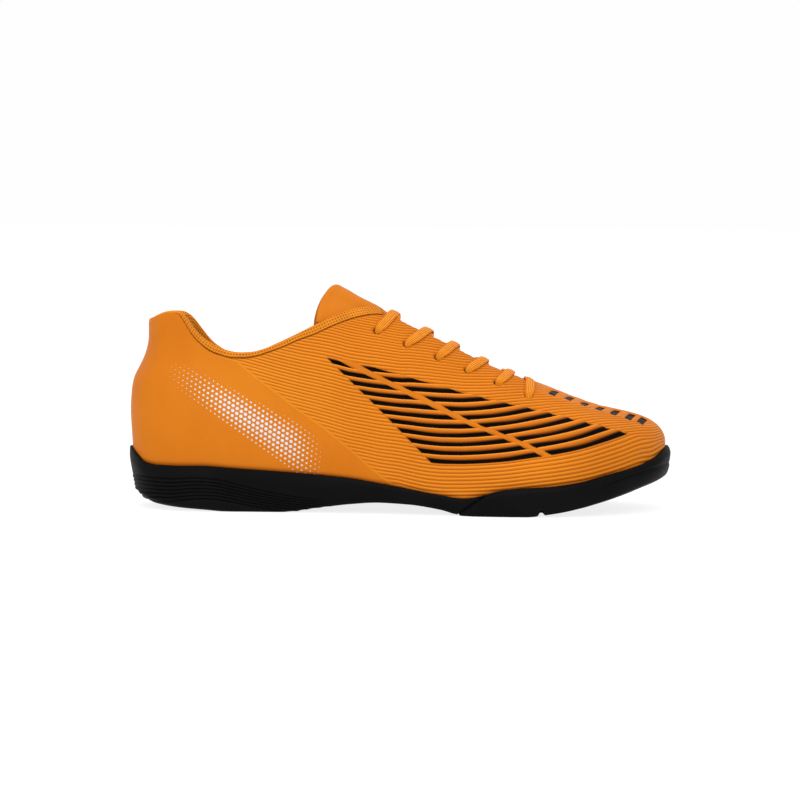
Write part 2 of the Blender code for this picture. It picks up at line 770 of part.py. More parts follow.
def main():
    for thing in list(bpy.data.objects):
        bpy.data.objects.remove(thing)
    shoe = bpy.data.collections.new("indoor_soccer_shoe")
    cutters = bpy.data.collections.new("cutters")
    bpy.context.scene.collection.children.link(shoe)
    bpy.context.scene.collection.children.link(cutters)
    orange = material("orange_synthetic", (0.76, 0.24, 0.024), 0.5)
    lining = material("orange_lining", (0.70, 0.22, 0.02), 0.85)
    lace = material("orange_lace", (0.80, 0.30, 0.03), 0.75)
    rubber = material("black_rubber", (0.012, 0.012, 0.013), 0.55)
    foam = material("footbed", (0.03, 0.03, 0.032), 0.9)
    upper = build_upper(shoe, orange)
    punch_eyelets(upper, cutters)
    build_outsole(shoe, cutters, rubber)
    build_insole(shoe, foam)
    build_tongue(shoe, lining)
    build_laces(shoe, lace)


main()
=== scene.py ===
"""Looks of the indoor soccer shoe: upper, collar lining, tongue, laces, outsole, footbed.

Working sizes are millimetres from the back of the heel (x), the middle of the
heel (y, + is the inner side) and the floor (z); place() turns them into the
row frame in metres.
"""

import math

import bmesh
import bpy
import numpy as np
from mathutils import Matrix, Vector


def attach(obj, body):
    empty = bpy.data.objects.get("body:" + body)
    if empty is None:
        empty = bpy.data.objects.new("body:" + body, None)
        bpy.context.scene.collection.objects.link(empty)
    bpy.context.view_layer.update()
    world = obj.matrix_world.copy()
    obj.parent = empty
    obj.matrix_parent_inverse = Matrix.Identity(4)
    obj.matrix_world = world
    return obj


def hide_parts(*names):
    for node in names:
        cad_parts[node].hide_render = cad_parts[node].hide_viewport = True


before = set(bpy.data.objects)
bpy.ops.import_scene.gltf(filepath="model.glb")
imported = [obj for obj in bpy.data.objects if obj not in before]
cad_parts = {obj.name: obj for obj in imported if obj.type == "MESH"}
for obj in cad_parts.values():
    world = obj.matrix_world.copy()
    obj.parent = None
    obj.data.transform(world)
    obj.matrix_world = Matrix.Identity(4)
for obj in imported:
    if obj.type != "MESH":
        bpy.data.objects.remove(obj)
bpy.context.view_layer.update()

MM = 0.001

# ------------------------------------------------------------ sizes of the last
LENGTH = 285.0
TOE_TIP_Y = 7.0
RIM_WALL = 2.2
TOE_WALL = 3.2
GAP = 0.35
UPPER_WALL = 2.1
COLLAR_WALL = 4.6
TONGUE_WALL = 3.0
TONGUE_DEPTH = 3.5
TONGUE_LIFT = 3.2
INSOLE_THICK = 4.5
LACE_WIDTH = 5.0
LACE_THICK = 1.3
LACE_LEAN = (10.9, 13.0, 10.6, 10.5, 8.7)   # how far forward each crossing of the lace runs
EYELET_HOLE = 1.9
THROAT_END = 213.0
THROAT_ROUND = 206.0
HEEL_AXIS = 42.0
TOE_AXIS = 241.0
RIDGE_SOFT = 0.13
ORIGIN_X = 142.5
ORIGIN_Y = -2.0
SHELL = 1.45            # outer layer of the upper; the lining is the rest
TILT = 0.07             # how much the outer side is seen from above

OUTLINE = [  # x, lateral, medial
    (2.6, -13.0, 13.0),
    (9.5, -24.0, 23.5),
    (24.0, -32.3, 31.5),
    (44.0, -35.2, 34.2),
    (70.0, -35.8, 33.0),
    (100.0, -37.0, 30.0),
    (130.0, -40.0, 29.5),
    (160.0, -45.0, 34.0),
    (185.0, -49.6, 41.0),
    (205.0, -51.2, 46.5),
    (225.0, -49.4, 48.6),
    (243.0, -44.4, 47.0),
    (258.5, -36.2, 42.2),
    (271.5, -25.2, 34.2),
    (280.4, -11.8, 24.2),
]

HEIGHTS = [  # x, bottom, floor, rim, widest, crest
    (0.0, 7.2, 15.3, 31.4, 46.0, 144.0),
    (4.0, 6.0, 15.2, 28.2, 46.0, 144.0),
    (8.0, 4.9, 15.1, 25.0, 46.0, 144.0),
    (16.0, 3.2, 15.0, 23.7, 45.0, 144.0),
    (26.0, 2.0, 15.0, 23.6, 43.0, 143.6),
    (40.0, 1.0, 15.0, 23.8, 40.0, 142.0),
    (56.0, 0.0, 14.8, 22.8, 37.0, 137.6),
    (82.0, 0.0, 14.2, 21.2, 33.0, 128.2),
    (100.0, 2.3, 13.2, 19.9, 30.0, 120.4),
    (116.0, 4.4, 11.8, 18.4, 28.0, 112.8),
    (131.0, 5.5, 10.0, 16.1, 25.5, 105.6),
    (147.0, 4.9, 8.2, 13.4, 22.5, 97.6),
    (163.0, 2.7, 6.6, 10.6, 20.5, 89.4),
    (175.0, 0.0, 5.8, 9.1, 19.5, 83.0),
    (185.0, 0.0, 5.5, 11.0, 20.0, 77.8),
    (192.0, 0.0, 5.4, 13.2, 20.6, 74.4),
    (207.0, 0.0, 5.8, 15.1, 22.0, 68.2),
    (219.0, 1.3, 6.8, 15.8, 23.6, 64.0),
    (236.0, 4.3, 9.6, 18.1, 27.0, 57.9),
    (248.0, 7.2, 12.6, 21.1, 29.8, 54.4),
    (260.0, 10.7, 16.4, 23.6, 31.6, 52.6),
    (268.0, 13.2, 19.2, 25.5, 32.6, 52.1),
    (276.0, 15.2, 22.2, 28.2, 33.8, 52.0),
    (285.0, 17.0, 25.6, 33.2, 34.8, 52.0),
]

SECTIONS = [  # x, crest_y, side_n, top_m, bulge
    (0.0, 0.0, 2.0, 2.6, 1.1),
    (60.0, 0.0, 2.0, 2.6, 0.9),
    (100.0, 0.3, 1.80, 2.7, 0.8),
    (130.0, 1.2, 1.62, 2.7, 0.7),
    (161.0, 2.4, 1.55, 2.0, 0.7),
    (190.0, 3.8, 1.52, 1.60, 0.7),
    (209.0, 5.0, 1.55, 1.45, 0.7),
    (230.0, 6.4, 1.75, 1.60, 0.6),
    (247.0, 7.0, 1.95, 1.90, 0.5),
    (285.0, 7.0, 2.25, 2.25, 0.4),
]

HEEL_BACK = [  # z, inset
    (15.0, 0.9),
    (31.0, 0.0),
    (38.0, -0.5),
    (51.0, -1.2),
    (60.0, -0.8),
    (64.0, -0.3),
    (68.0, 0.7),
    (72.0, 2.6),
    (76.0, 4.6),
    (81.0, 6.5),
    (85.0, 7.5),
    (89.0, 8.0),
    (97.0, 8.0),
    (103.0, 8.8),
    (112.0, 9.5),
]

COLLAR = [  # x, lateral, medial
    (8.0, 97.4, 97.4),
    (12.0, 99.2, 98.8),
    (16.0, 101.4, 100.6),
    (20.0, 103.0, 101.6),
    (25.7, 103.6, 101.5),
    (29.4, 101.7, 100.0),
    (32.0, 98.6, 97.6),
    (37.2, 92.0, 91.0),
    (42.5, 88.0, 85.0),
    (47.7, 85.3, 81.2),
    (53.0, 83.4, 78.9),
    (59.0, 82.5, 78.0),
    (65.0, 82.8, 78.4),
    (71.0, 84.3, 80.0),
    (79.0, 87.7, 83.4),
    (90.0, 93.0, 88.6),
    (100.0, 98.1, 94.0),
    (109.6, 102.6, 99.2),
    (116.0, 104.5, 101.8),
    (121.0, 105.6, 103.6),
    (126.0, 106.2, 104.8),
    (130.0, 105.5, 104.6),
    (134.0, 104.1, 103.7),
    (138.0, 102.4, 102.4),
    (141.0, 100.9, 101.0),
]

# lower edge of the rolled lining on the outer side
ROLL = [  # x, height
    (8.0, 96.6),
    (12.0, 98.4),
    (16.0, 100.6),
    (20.0, 102.2),
    (24.0, 102.9),
    (26.7, 102.3),
    (28.8, 99.9),
    (31.5, 95.6),
    (34.6, 90.9),
    (38.8, 86.7),
    (43.5, 83.2),
    (48.8, 81.1),
    (55.0, 79.7),
    (61.0, 79.6),
    (67.6, 80.6),
    (74.2, 82.7),
    (82.3, 85.8),
    (88.9, 88.8),
    (97.5, 91.9),
    (105.7, 95.7),
    (113.8, 98.9),
    (119.6, 100.6),
    (125.8, 101.7),
    (130.0, 101.9),
    (134.0, 101.1),
    (138.0, 99.9),
    (141.0, 98.8),
]

THROAT = [  # x, half
    (112.0, 5.0),
    (122.0, 4.5),
    (130.0, 4.5),
    (135.0, 5.5),
    (140.0, 9.0),
    (146.0, 9.6),
    (155.0, 9.0),
    (175.0, 8.0),
    (195.0, 7.0),
    (206.0, 6.5),
]

EYELETS = [  # x, from_crest
    (128.8, 27.6),
    (144.4, 27.0),
    (160.6, 25.2),
    (176.1, 24.4),
    (191.6, 23.6),
    (207.7, 25.2),
]

TREAD = [  # x, swing, inset
    (30.0, 10.0, 9.0),
    (41.5, 10.0, 9.0),
    (53.0, 10.0, 9.0),
    (76.5, 10.0, 9.0),
    (88.0, 10.0, 9.0),
    (184.0, -9.0, 9.0),
    (200.5, -9.0, 9.0),
    (226.5, -9.0, 9.0),
    (238.0, -9.0, 9.0),
    (249.5, -9.0, 9.0),
]

# ----------------------------------------------------- the pattern of the upper
# seen square from the side: x, and v, the height less the tilt of the view
SLOT_FLOW = [  # x, lowest_slot, pitch
    (53.0, 50.2, 3.83),
    (63.5, 47.3, 3.85),
    (79.2, 42.8, 3.88),
    (89.7, 39.9, 3.93),
    (100.2, 36.9, 4.04),
    (108.0, 34.6, 4.11),
    (115.9, 32.35, 4.14),
    (124.8, 30.6, 4.18),
    (131.6, 29.2, 4.25),
    (142.1, 27.8, 4.30),
    (147.4, 26.8, 4.41),
    (156.8, 25.32, 4.52),
    (165.7, 24.72, 4.54),
    (172.5, 24.7, 4.51),
    (179.9, 24.95, 4.52),
    (194.6, 26.07, 4.59),
    (209.2, 28.1, 4.68),
    (225.0, 30.67, 4.86),
    (235.5, 33.0, 5.04),
    (245.4, 36.0, 5.23),
    (255.9, 39.5, 5.33),
    (266.9, 43.5, 5.44),
    (273.2, 45.0, 5.61),
    (279.5, 48.2, 5.66),
    (288.9, 53.5, 5.66),
]
SLOTS = 11
SLOT_HALF = 0.24          # half height of a slot, in pitches
RIBS_PER_SLOT = 2.35
SLOT_LEFT = [(102.3, 79.8), (130.7, 52.2), (158.6, 23.9), (171.0, 10.9)]  # x, v
BAR_LOW = [  # x, v
    (95.0, 84.4), (113.3, 75.0), (116.9, 73.0), (128.5, 67.4), (140.0, 62.0), (151.0, 56.6), (161.5, 51.4),
    (171.5, 46.3), (181.4, 42.2), (190.9, 38.6), (200.3, 35.0), (208.2, 31.4), (216.1, 27.8),
    (223.9, 24.7), (240.0, 18.5),
]
BAR_HIGH = [  # x, v
    (95.0, 88.6), (115.9, 77.3), (119.6, 75.2), (131.6, 69.0), (143.2, 63.4), (154.7, 58.2), (164.7, 53.0),
    (174.4, 47.9), (184.1, 43.5), (193.5, 40.2), (202.4, 36.8), (210.8, 33.1), (218.5, 29.6),
    (226.0, 26.3), (240.0, 20.4),
]
FRONT = [  # x, v
    (95.0, 81.2), (115.9, 76.7), (134.2, 71.7), (155.7, 65.9), (174.1, 60.7), (188.8, 57.1), (201.1, 54.4),
    (212.4, 51.9), (223.4, 49.3), (233.4, 46.6), (242.3, 44.6), (251.6, 42.4), (260.6, 40.0),
    (268.0, 37.8), (286.0, 32.0),
]
HEEL_EDGE = [  # x, v
    (50.0, 84.0), (50.9, 78.9), (53.5, 77.3), (59.3, 74.8), (68.7, 67.0), (82.3, 57.1), (89.7, 51.1),
    (103.0, 42.1), (116.4, 31.2), (129.8, 19.7), (139.5, 12.5), (143.2, 9.3), (152.0, 2.0),
]
DASHES = [  # x, from_crest
    (222.9, 10.4), (231.3, 10.0), (239.3, 10.9), (247.2, 10.7), (254.9, 11.6), (262.8, 12.2), (269.3, 11.2),
]
DASH_HALF_LENGTH = 7.4
DASH_HALF_WIDTH = 1.70

WAVES = [  # x, v of the first groove round the heel of the sole
    (0.0, 16.6), (6.8, 15.9), (22.0, 14.4), (36.7, 15.3), (46.1, 14.6), (55.6, 12.3), (67.1, 9.5),
    (78.1, 7.3), (89.1, 5.6), (104.4, 4.0), (125.0, 3.4),
]
WAVE_COUNT = 7
TOE_CREASE = [(240.0, 9.8), (252.2, 14.2), (266.7, 19.5), (281.1, 24.1), (286.0, 25.4)]  # x, v


# ------------------------------------------------------------------- the curves
def smooth_curve(table, column):
    """Monotone cubic through one column of a table whose first column is x."""
    xs = np.array([row[0] for row in table], float)
    ys = np.array([row[column] for row in table], float)
    h = np.diff(xs)
    delta = np.diff(ys) / h
    slope = np.zeros(len(xs))
    for i in range(1, len(xs) - 1):
        if delta[i - 1] * delta[i] > 0:
            w1, w2 = 2 * h[i] + h[i - 1], h[i] + 2 * h[i - 1]
            slope[i] = (w1 + w2) / (w1 / delta[i - 1] + w2 / delta[i])
    slope[0], slope[-1] = delta[0], delta[-1]

    def at(x):
        x = np.clip(np.asarray(x, float), xs[0], xs[-1])
        i = np.clip(np.searchsorted(xs, x, side="right") - 1, 0, len(xs) - 2)
        t = (x - xs[i]) / h[i]
        return (
            (2 * t**3 - 3 * t**2 + 1) * ys[i]
            + (t**3 - 2 * t**2 + t) * h[i] * slope[i]
            + (3 * t**2 - 2 * t**3) * ys[i + 1]
            + (t**3 - t**2) * h[i] * slope[i + 1]
        )

    return at


bottom_z, floor_z, rim_z, widest_z, crest_z = (
    smooth_curve(HEIGHTS, c) for c in (1, 2, 3, 4, 5)
)
crest_y, side_n, top_m, bulge = (smooth_curve(SECTIONS, c) for c in (1, 2, 3, 4))
heel_inset = smooth_curve(HEEL_BACK, 1)
collar_lines = {side: smooth_curve(COLLAR, 1 if side < 0 else 2) for side in (-1, 1)}
roll_line = smooth_curve(ROLL, 1)
throat_table = smooth_curve(THROAT, 1)
slot_low = smooth_curve(SLOT_FLOW, 1)
slot_pitch = smooth_curve(SLOT_FLOW, 2)
wave_line = smooth_curve(WAVES, 1)


def roll_edge(x, side):
    """Lower edge of the rolled lining; on the inner side it dips with the collar."""
    drop = collar_lines[-1](x) - collar_lines[side](x)
    return roll_line(x) - drop


def line_height(table, x):
    return np.interp(x, [p[0] for p in table], [p[1] for p in table])


def line_x(table, v):
    """x of a falling line at height v."""
    return np.interp(-np.asarray(v, float), [-p[1] for p in table], [p[0] for p in table])


def step(x, low, high):
    """0 below low, 1 above high, smooth between."""
    t = np.clip((np.asarray(x, float) - low) / (high - low), 0, 1)
    return t * t * (3 - 2 * t)


def throat_half(x):
    x = np.asarray(x, float)
    end = np.clip((x - THROAT_ROUND) / (THROAT_END - THROAT_ROUND), 0, 1)
    return np.where(
        x < THROAT_ROUND,
        throat_table(x),
        np.where(x < THROAT_END, 6.5 * np.sqrt(1 - end**2), -1.0),
    )


def half_outline(side):
    column = 1 if side < 0 else 2
    ring = [(0.0, 0.0)] + [(r[0], r[column]) for r in OUTLINE] + [(LENGTH, TOE_TIP_Y)]
    other = 3 - column
    before = (OUTLINE[0][0], OUTLINE[0][other])
    after = (OUTLINE[-1][0], OUTLINE[-1][other])
    p = np.array([before] + ring + [after], float)
    out = []
    for i in range(1, len(p) - 2):
        p0, p1, p2, p3 = p[i - 1 : i + 3]
        t0 = 0.0
        t1 = t0 + np.linalg.norm(p1 - p0) ** 0.5
        t2 = t1 + np.linalg.norm(p2 - p1) ** 0.5
        t3 = t2 + np.linalg.norm(p3 - p2) ** 0.5
        for t in np.linspace(t1, t2, 24, endpoint=False):
            a1 = (t1 - t) / (t1 - t0) * p0 + (t - t0) / (t1 - t0) * p1
            a2 = (t2 - t) / (t2 - t1) * p1 + (t - t1) / (t2 - t1) * p2
            a3 = (t3 - t) / (t3 - t2) * p2 + (t - t2) / (t3 - t2) * p3
            b1 = (t2 - t) / (t2 - t0) * a1 + (t - t0) / (t2 - t0) * a2
            b2 = (t3 - t) / (t3 - t1) * a2 + (t - t1) / (t3 - t1) * a3
            out.append((t2 - t) / (t2 - t1) * b1 + (t - t1) / (t2 - t1) * b2)
    out.append(p[-2])
    out = np.array(out)
    length = np.concatenate([[0], np.cumsum(np.linalg.norm(np.diff(out, axis=0), axis=1))])
    tangent = np.gradient(out, length, axis=0)
    tangent /= np.linalg.norm(tangent, axis=1)[:, None]
    tangent[0] = tangent[-1] = (0, side)
    tangent[-1] = (0, -side)
    normal = np.stack([-tangent[:, 1], tangent[:, 0]], axis=1) * side
    return out, length / length[-1], normal


HALVES = {side: half_outline(side) for side in (-1, 1)}


def rim_wall(x):
    t = np.clip((np.asarray(x, float) - 252.0) / 31.0, 0, 1)
    return RIM_WALL + (TOE_WALL - RIM_WALL) * t * t * (3 - 2 * t)


def edge_point(u, side):
    pts, share, normal = HALVES[side]
    point = np.stack([np.interp(u, share, pts[:, k]) for k in (0, 1)], axis=-1)
    out = np.stack([np.interp(u, share, normal[:, k]) for k in (0, 1)], axis=-1)
    return point, out / np.linalg.norm(out, axis=-1, keepdims=True)


def ease(t, start_slope, end_slope=0.15):
    return (
        (t**3 - 2 * t**2 + t) * start_slope
        + (3 * t**2 - 2 * t**3)
        + (t**3 - t**2) * end_slope
    )


def axis_point(u):
    b = (edge_point(u, -1)[0][..., 0] + edge_point(u, 1)[0][..., 0]) / 2
    low, high = 92.0, 203.0
    back = low - (low - HEEL_AXIS) * ease(
        np.clip((low - b) / low, 0, 1), low / (low - HEEL_AXIS)
    )
    front = high + (TOE_AXIS - high) * ease(
        np.clip((b - high) / (LENGTH - high), 0, 1),
        (LENGTH - high) / (TOE_AXIS - high),
    )
    x = np.where(b < low, back, np.where(b > high, front, b))
    return np.stack([x, crest_y(x)], axis=-1)


def heel_share(x):
    return np.clip(1 - x / 78.0, 0, 1) ** 1.3


def upper_inset(u, side, z):
    edge, out = edge_point(u, side)
    x = edge[..., 0]
    low, wide, rim, b = floor_z(x) + GAP, widest_z(x), rim_z(x), bulge(x)
    share = np.clip(1 - (rim - low) / (wide - low), 0.35, 1)
    tuck = np.minimum(b / share**2, 2.4)
    tucked = -b + tuck * np.clip(1 - (z - low) / (wide - low), 0, 1) ** 2
    k = heel_share(x)
    return (1 - k) * tucked + k * heel_inset(z)


def rib(u, side, low_points=20, high_points=150):
    """Outer face of the upper along one rib, from the feather edge to the crest."""
    edge, out = edge_point(u, side)
    base = edge - out * (rim_wall(edge[0]) + GAP)
    axis = axis_point(u)
    reach = np.linalg.norm(axis - base)
    toward = (axis - base) / reach
    x = edge[0]
    low, wide, b = floor_z(x) + GAP, float(widest_z(x)), float(bulge(x))
    z1 = np.linspace(low, wide, low_points, endpoint=False)
    d1 = upper_inset(u, side, z1)
    a = np.linspace(0, math.pi / 2, high_points)
    n, m = float(side_n(x)), float(top_m(x))
    scale = math.sqrt(1 + RIDGE_SOFT**2) - RIDGE_SOFT
    ws = np.cos(a).clip(0) ** (2 / n)
    w = np.sqrt((ws * scale + RIDGE_SOFT) ** 2 - RIDGE_SOFT**2)
    rise = np.sin(a) ** (2 / m)
    d2 = -b + (reach + b) * (1 - w)
    z2 = wide + (crest_z(x + toward[0] * d2) - wide) * rise
    k = float(heel_share(x))
    d2 = (1 - k) * d2 + k * heel_inset(z2)
    d, z = np.concatenate([d1, d2]), np.concatenate([z1, z2])
    plan = base + d[:, None] * toward
    return np.column_stack([plan, z])


def footbed(u, side, share):
    edge, out = edge_point(u, side)
    base, axis = edge - out * (rim_wall(edge[0]) + GAP), axis_point(u)
    low = float(floor_z(edge[0]))
    corner = float(upper_inset(u, side, low + GAP)) - GAP
    stops = [corner / np.linalg.norm(axis - base)] + [0.33, 0.66, 1.0]
    stops[-3:] = [0.33, 0.66, 1.0]
    heights = [low] + [float(floor_z(base[0] + (axis[0] - base[0]) * s)) for s in stops[1:]]
    return float(np.interp(share, stops, heights))


def place(points):
    """Working millimetres to the row frame in metres."""
    return (np.asarray(points, float) - np.array([ORIGIN_X, ORIGIN_Y, 0.0])) * MM


def unit(v):
    return v / np.maximum(np.linalg.norm(v, axis=-1, keepdims=True), 1e-12)


def view_height(p):
    """v of the pattern for points on either side."""
    cy = crest_y(p[..., 0])
    return p[..., 2] - TILT * np.abs(p[..., 1] - cy) + TILT * cy


# ------------------------------------------------------------------ the last
def ring_stations(spacing):
    """Shares from heel to toe with a given spacing in mm as a function of x."""
    pts, share, _ = HALVES[-1]
    total = share[-1]
    length = np.concatenate([[0], np.cumsum(np.linalg.norm(np.diff(pts, axis=0), axis=1))])
    gap = spacing(pts[:, 0])
    count = np.concatenate([[0], np.cumsum(np.diff(length) / ((gap[1:] + gap[:-1]) / 2))])
    n = int(round(count[-1]))
    return np.interp(np.linspace(0, count[-1], n + 1), count, share / total)


class Last:
    """Ribs round the whole shoe: out along the lateral side to the toe and back along the medial."""

    def __init__(self, us):
        self.us = us
        n = len(us)
        order = [(-1, i) for i in range(n)] + [(1, i) for i in range(n - 2, 0, -1)]
        self.side = np.array([s for s, _ in order])
        self.index = np.array([i for _, i in order])
        self.points = np.array([rib(us[i], s) for s, i in order])
        self.arc = np.concatenate(
            [
                np.zeros((len(order), 1)),
                np.cumsum(np.linalg.norm(np.diff(self.points, axis=1), axis=2), axis=1),
            ],
            axis=1,
        )
        around = np.roll(self.points, -1, axis=0) - np.roll(self.points, 1, axis=0)
        up = np.gradient(self.points, axis=1)
        normal = unit(np.cross(around, up))
        middle = self.points.mean(axis=(0, 1))
        if np.sum(normal[:, 60] * (self.points[:, 60] - middle)) < 0:
            normal = -normal
        self.normal = normal
        # both sides share the crest's normal
        self.mate = np.array([self._find(-s, i) for s, i in order])
        top = unit(normal[:, -2] + normal[self.mate, -2])
        for k, w in ((-1, 1.0), (-2, 0.7), (-3, 0.35)):
            self.normal[:, k] = unit(self.normal[:, k] * (1 - w) + top * w)

    def _find(self, side, i):
        n = len(self.us)
        if i in (0, n - 1):
            return i
        return i if side < 0 else (2 * n - 2 - i)

    def cut(self, line):
        """Arc of each rib's end at the collar or throat, and whether it was cut there."""
        x, y, z = self.points[..., 0], self.points[..., 1], self.points[..., 2]
        height = np.where(
            self.side[:, None] < 0, line(x, -1), line(x, 1)
        )
        collar = z - height
        throat = throat_half(x) - np.abs(y - crest_y(x))
        over = np.where(x < 112.0, collar, np.where(x > 139.0, throat, np.maximum(collar, throat)))
        ends = self.arc[:, -1].copy()
        kind = np.zeros(len(ends), int)
        for c in range(len(ends)):
            hit = np.nonzero(over[c] >= 0)[0]
            if len(hit):
                k = int(hit[0])
                t = over[c, k - 1] / (over[c, k - 1] - over[c, k])
                ends[c] = self.arc[c, k - 1] + t * (self.arc[c, k] - self.arc[c, k - 1])
                kind[c] = 1 if (x[c, k] < 112.0 or collar[c, k] >= throat[c, k]) and x[c, k] < 139.0 else 2
        return ends, kind

    def at(self, c, arc):
        p = np.stack([np.interp(arc, self.arc[c], self.points[c, :, k]) for k in range(3)], axis=-1)
        n = np.stack([np.interp(arc, self.arc[c], self.normal[c, :, k]) for k in range(3)], axis=-1)
        return p, unit(n)


US = ring_stations(lambda x: np.where(x < 40, 2.3, np.where(x < 60, 1.7, 1.28)))
LAST = Last(US)
RING = len(LAST.side)

AXIS_X = np.array([axis_point(u)[0] for u in US])


def on_last(x, signed, side_for_zero=-1):
    """Point and outward normal on the closed last, at a distance from the crest (+ is the inner side)."""
    side = side_for_zero if signed == 0 else (1 if signed > 0 else -1)
    f = float(np.interp(x, AXIS_X, np.arange(len(US))))
    i = int(min(math.floor(f), len(US) - 2))
    t = f - i
    out_p, out_n = 0, 0
    for j, w in ((i, 1 - t), (i + 1, t)):
        c = LAST._find(side, j)
        arc = LAST.arc[c, -1] - abs(signed)
        p, n = LAST.at(c, arc)
        out_p, out_n = out_p + p * w, out_n + n * w
    return np.array(out_p), unit(np.array(out_n))


# ----------------------------------------------------------------- mesh helpers
def make_object(name, points, faces, finishes, attributes=None, slots=None, smooth=True):
    data = bpy.data.meshes.new(name)
    data.from_pydata(place(points).tolist(), [], faces)
    for finish in finishes:
        data.materials.append(finish)
    if slots is not None:
        data.polygons.foreach_set("material_index", np.asarray(slots, dtype=np.int32))
    for key, values in (attributes or {}).items():
        layer = data.attributes.new(key, "FLOAT", "POINT")
        layer.data.foreach_set("value", np.asarray(values, dtype=np.float32))
    mesh = bmesh.new()
    mesh.from_mesh(data)
    bmesh.ops.recalc_face_normals(mesh, faces=mesh.faces)
    mesh.to_mesh(data)
    mesh.free()
    data.update()
    made = bpy.data.objects.new(name, data)
    bpy.context.scene.collection.objects.link(made)
    if smooth:
        data.shade_smooth()
    return made


def tidy(face):
    """A face without repeated corners, or None."""
    out = []
    for v in face:
        if v not in out:
            out.append(v)
    return out if len(out) > 2 else None


# --------------------------------------------------------------- shader helpers
class Nodes:
    """Small expression builder for a material's node tree."""

    def __init__(self, name):
        self.material = bpy.data.materials.new(name)
        self.material.use_nodes = True
        self.tree = self.material.node_tree
        self.shader = self.tree.nodes["Principled BSDF"]
        self.where = 0

    def node(self, kind, **settings):
        made = self.tree.nodes.new(kind)
        self.where += 1
        made.location = (-220 * (self.where // 8) - 300, 160 * (self.where % 8))
        for key, value in settings.items():
            setattr(made, key, value)
        return made

    def put(self, socket, value):
        if isinstance(value, bpy.types.NodeSocket):
            self.tree.links.new(value, socket)
        else:
            socket.default_value = value

    def attr(self, name):
        return self.node("ShaderNodeAttribute", attribute_name=name).outputs["Fac"]

    def math(self, operation, a, b=0.0, c=0.0):
        made = self.node("ShaderNodeMath", operation=operation)
        for socket, value in zip(made.inputs, (a, b, c)):
            self.put(socket, value)
        return made.outputs[0]

    def ramp(self, value, low, high, to_low=0.0, to_high=1.0):
        made = self.node("ShaderNodeMapRange", interpolation_type="SMOOTHSTEP")
        self.put(made.inputs["Value"], value)
        made.inputs["From Min"].default_value = low
        made.inputs["From Max"].default_value = high
        made.inputs["To Min"].default_value = to_low
        made.inputs["To Max"].default_value = to_high
        return made.outputs[0]

    def mix(self, share, a, b):
        made = self.node("ShaderNodeMix", data_type="RGBA")
        self.put(made.inputs[0], share)
        self.put(made.inputs[6], a if isinstance(a, bpy.types.NodeSocket) else (*a, 1.0))
        self.put(made.inputs[7], b if isinstance(b, bpy.types.NodeSocket) else (*b, 1.0))
        return made.outputs[2]

    def shade(self, share, colour, factor):
        """colour times factor where share is 1."""
        made = self.node("ShaderNodeMix", data_type="RGBA", blend_type="MULTIPLY")
        self.put(made.inputs[0], share)
        self.put(made.inputs[6], colour)
        self.put(made.inputs[7], (*factor, 1.0))
        return made.outputs[2]

    def place_mm(self, scale):
        coord = self.node("ShaderNodeTexCoord").outputs["Object"]
        mapping = self.node("ShaderNodeMapping")
        self.tree.links.new(coord, mapping.inputs["Vector"])
        mapping.inputs["Scale"].default_value = (1000 / scale,) * 3
        return mapping.outputs[0]

    def noise(self, scale_mm, detail=2.0, roughness=0.5):
        made = self.node("ShaderNodeTexNoise")
        self.tree.links.new(self.place_mm(scale_mm), made.inputs["Vector"])
        made.inputs["Scale"].default_value = 1.0
        made.inputs["Detail"].default_value = detail
        made.inputs["Roughness"].default_value = roughness
        return made.outputs["Fac"]

    def cells(self, scale_mm, feature="F1"):
        made = self.node("ShaderNodeTexVoronoi", feature=feature)
        self.tree.links.new(self.place_mm(scale_mm), made.inputs["Vector"])
        made.inputs["Scale"].default_value = 1.0
        return made.outputs["Distance"]

    def bump(self, height, distance_mm, strength=1.0, under=None):
        made = self.node("ShaderNodeBump")
        made.inputs["Strength"].default_value = strength
        made.inputs["Distance"].default_value = distance_mm * MM
        self.tree.links.new(height, made.inputs["Height"])
        if under is not None:
            self.tree.links.new(under, made.inputs["Normal"])
        return made.outputs[0]

    def finish(self, colour, roughness, normal=None, **fixed):
        self.put(self.shader.inputs["Base Color"], colour if isinstance(colour, bpy.types.NodeSocket) else (*colour, 1.0))
        self.put(self.shader.inputs["Roughness"], roughness)
        if normal is not None:
            self.tree.links.new(normal, self.shader.inputs["Normal"])
        for key, value in fixed.items():
            self.shader.inputs[key.replace("_", " ")].default_value = value
        return self.material


ORANGE = (0.560, 0.158, 0.0090)
ORANGE_DEEP = (0.56, 0.125, 0.007)
ORANGE_HIGHLIGHT = (0.76, 0.258, 0.019)
BLACK = (0.0035, 0.0025, 0.0020)
BROWN = (0.30, 0.085, 0.010)


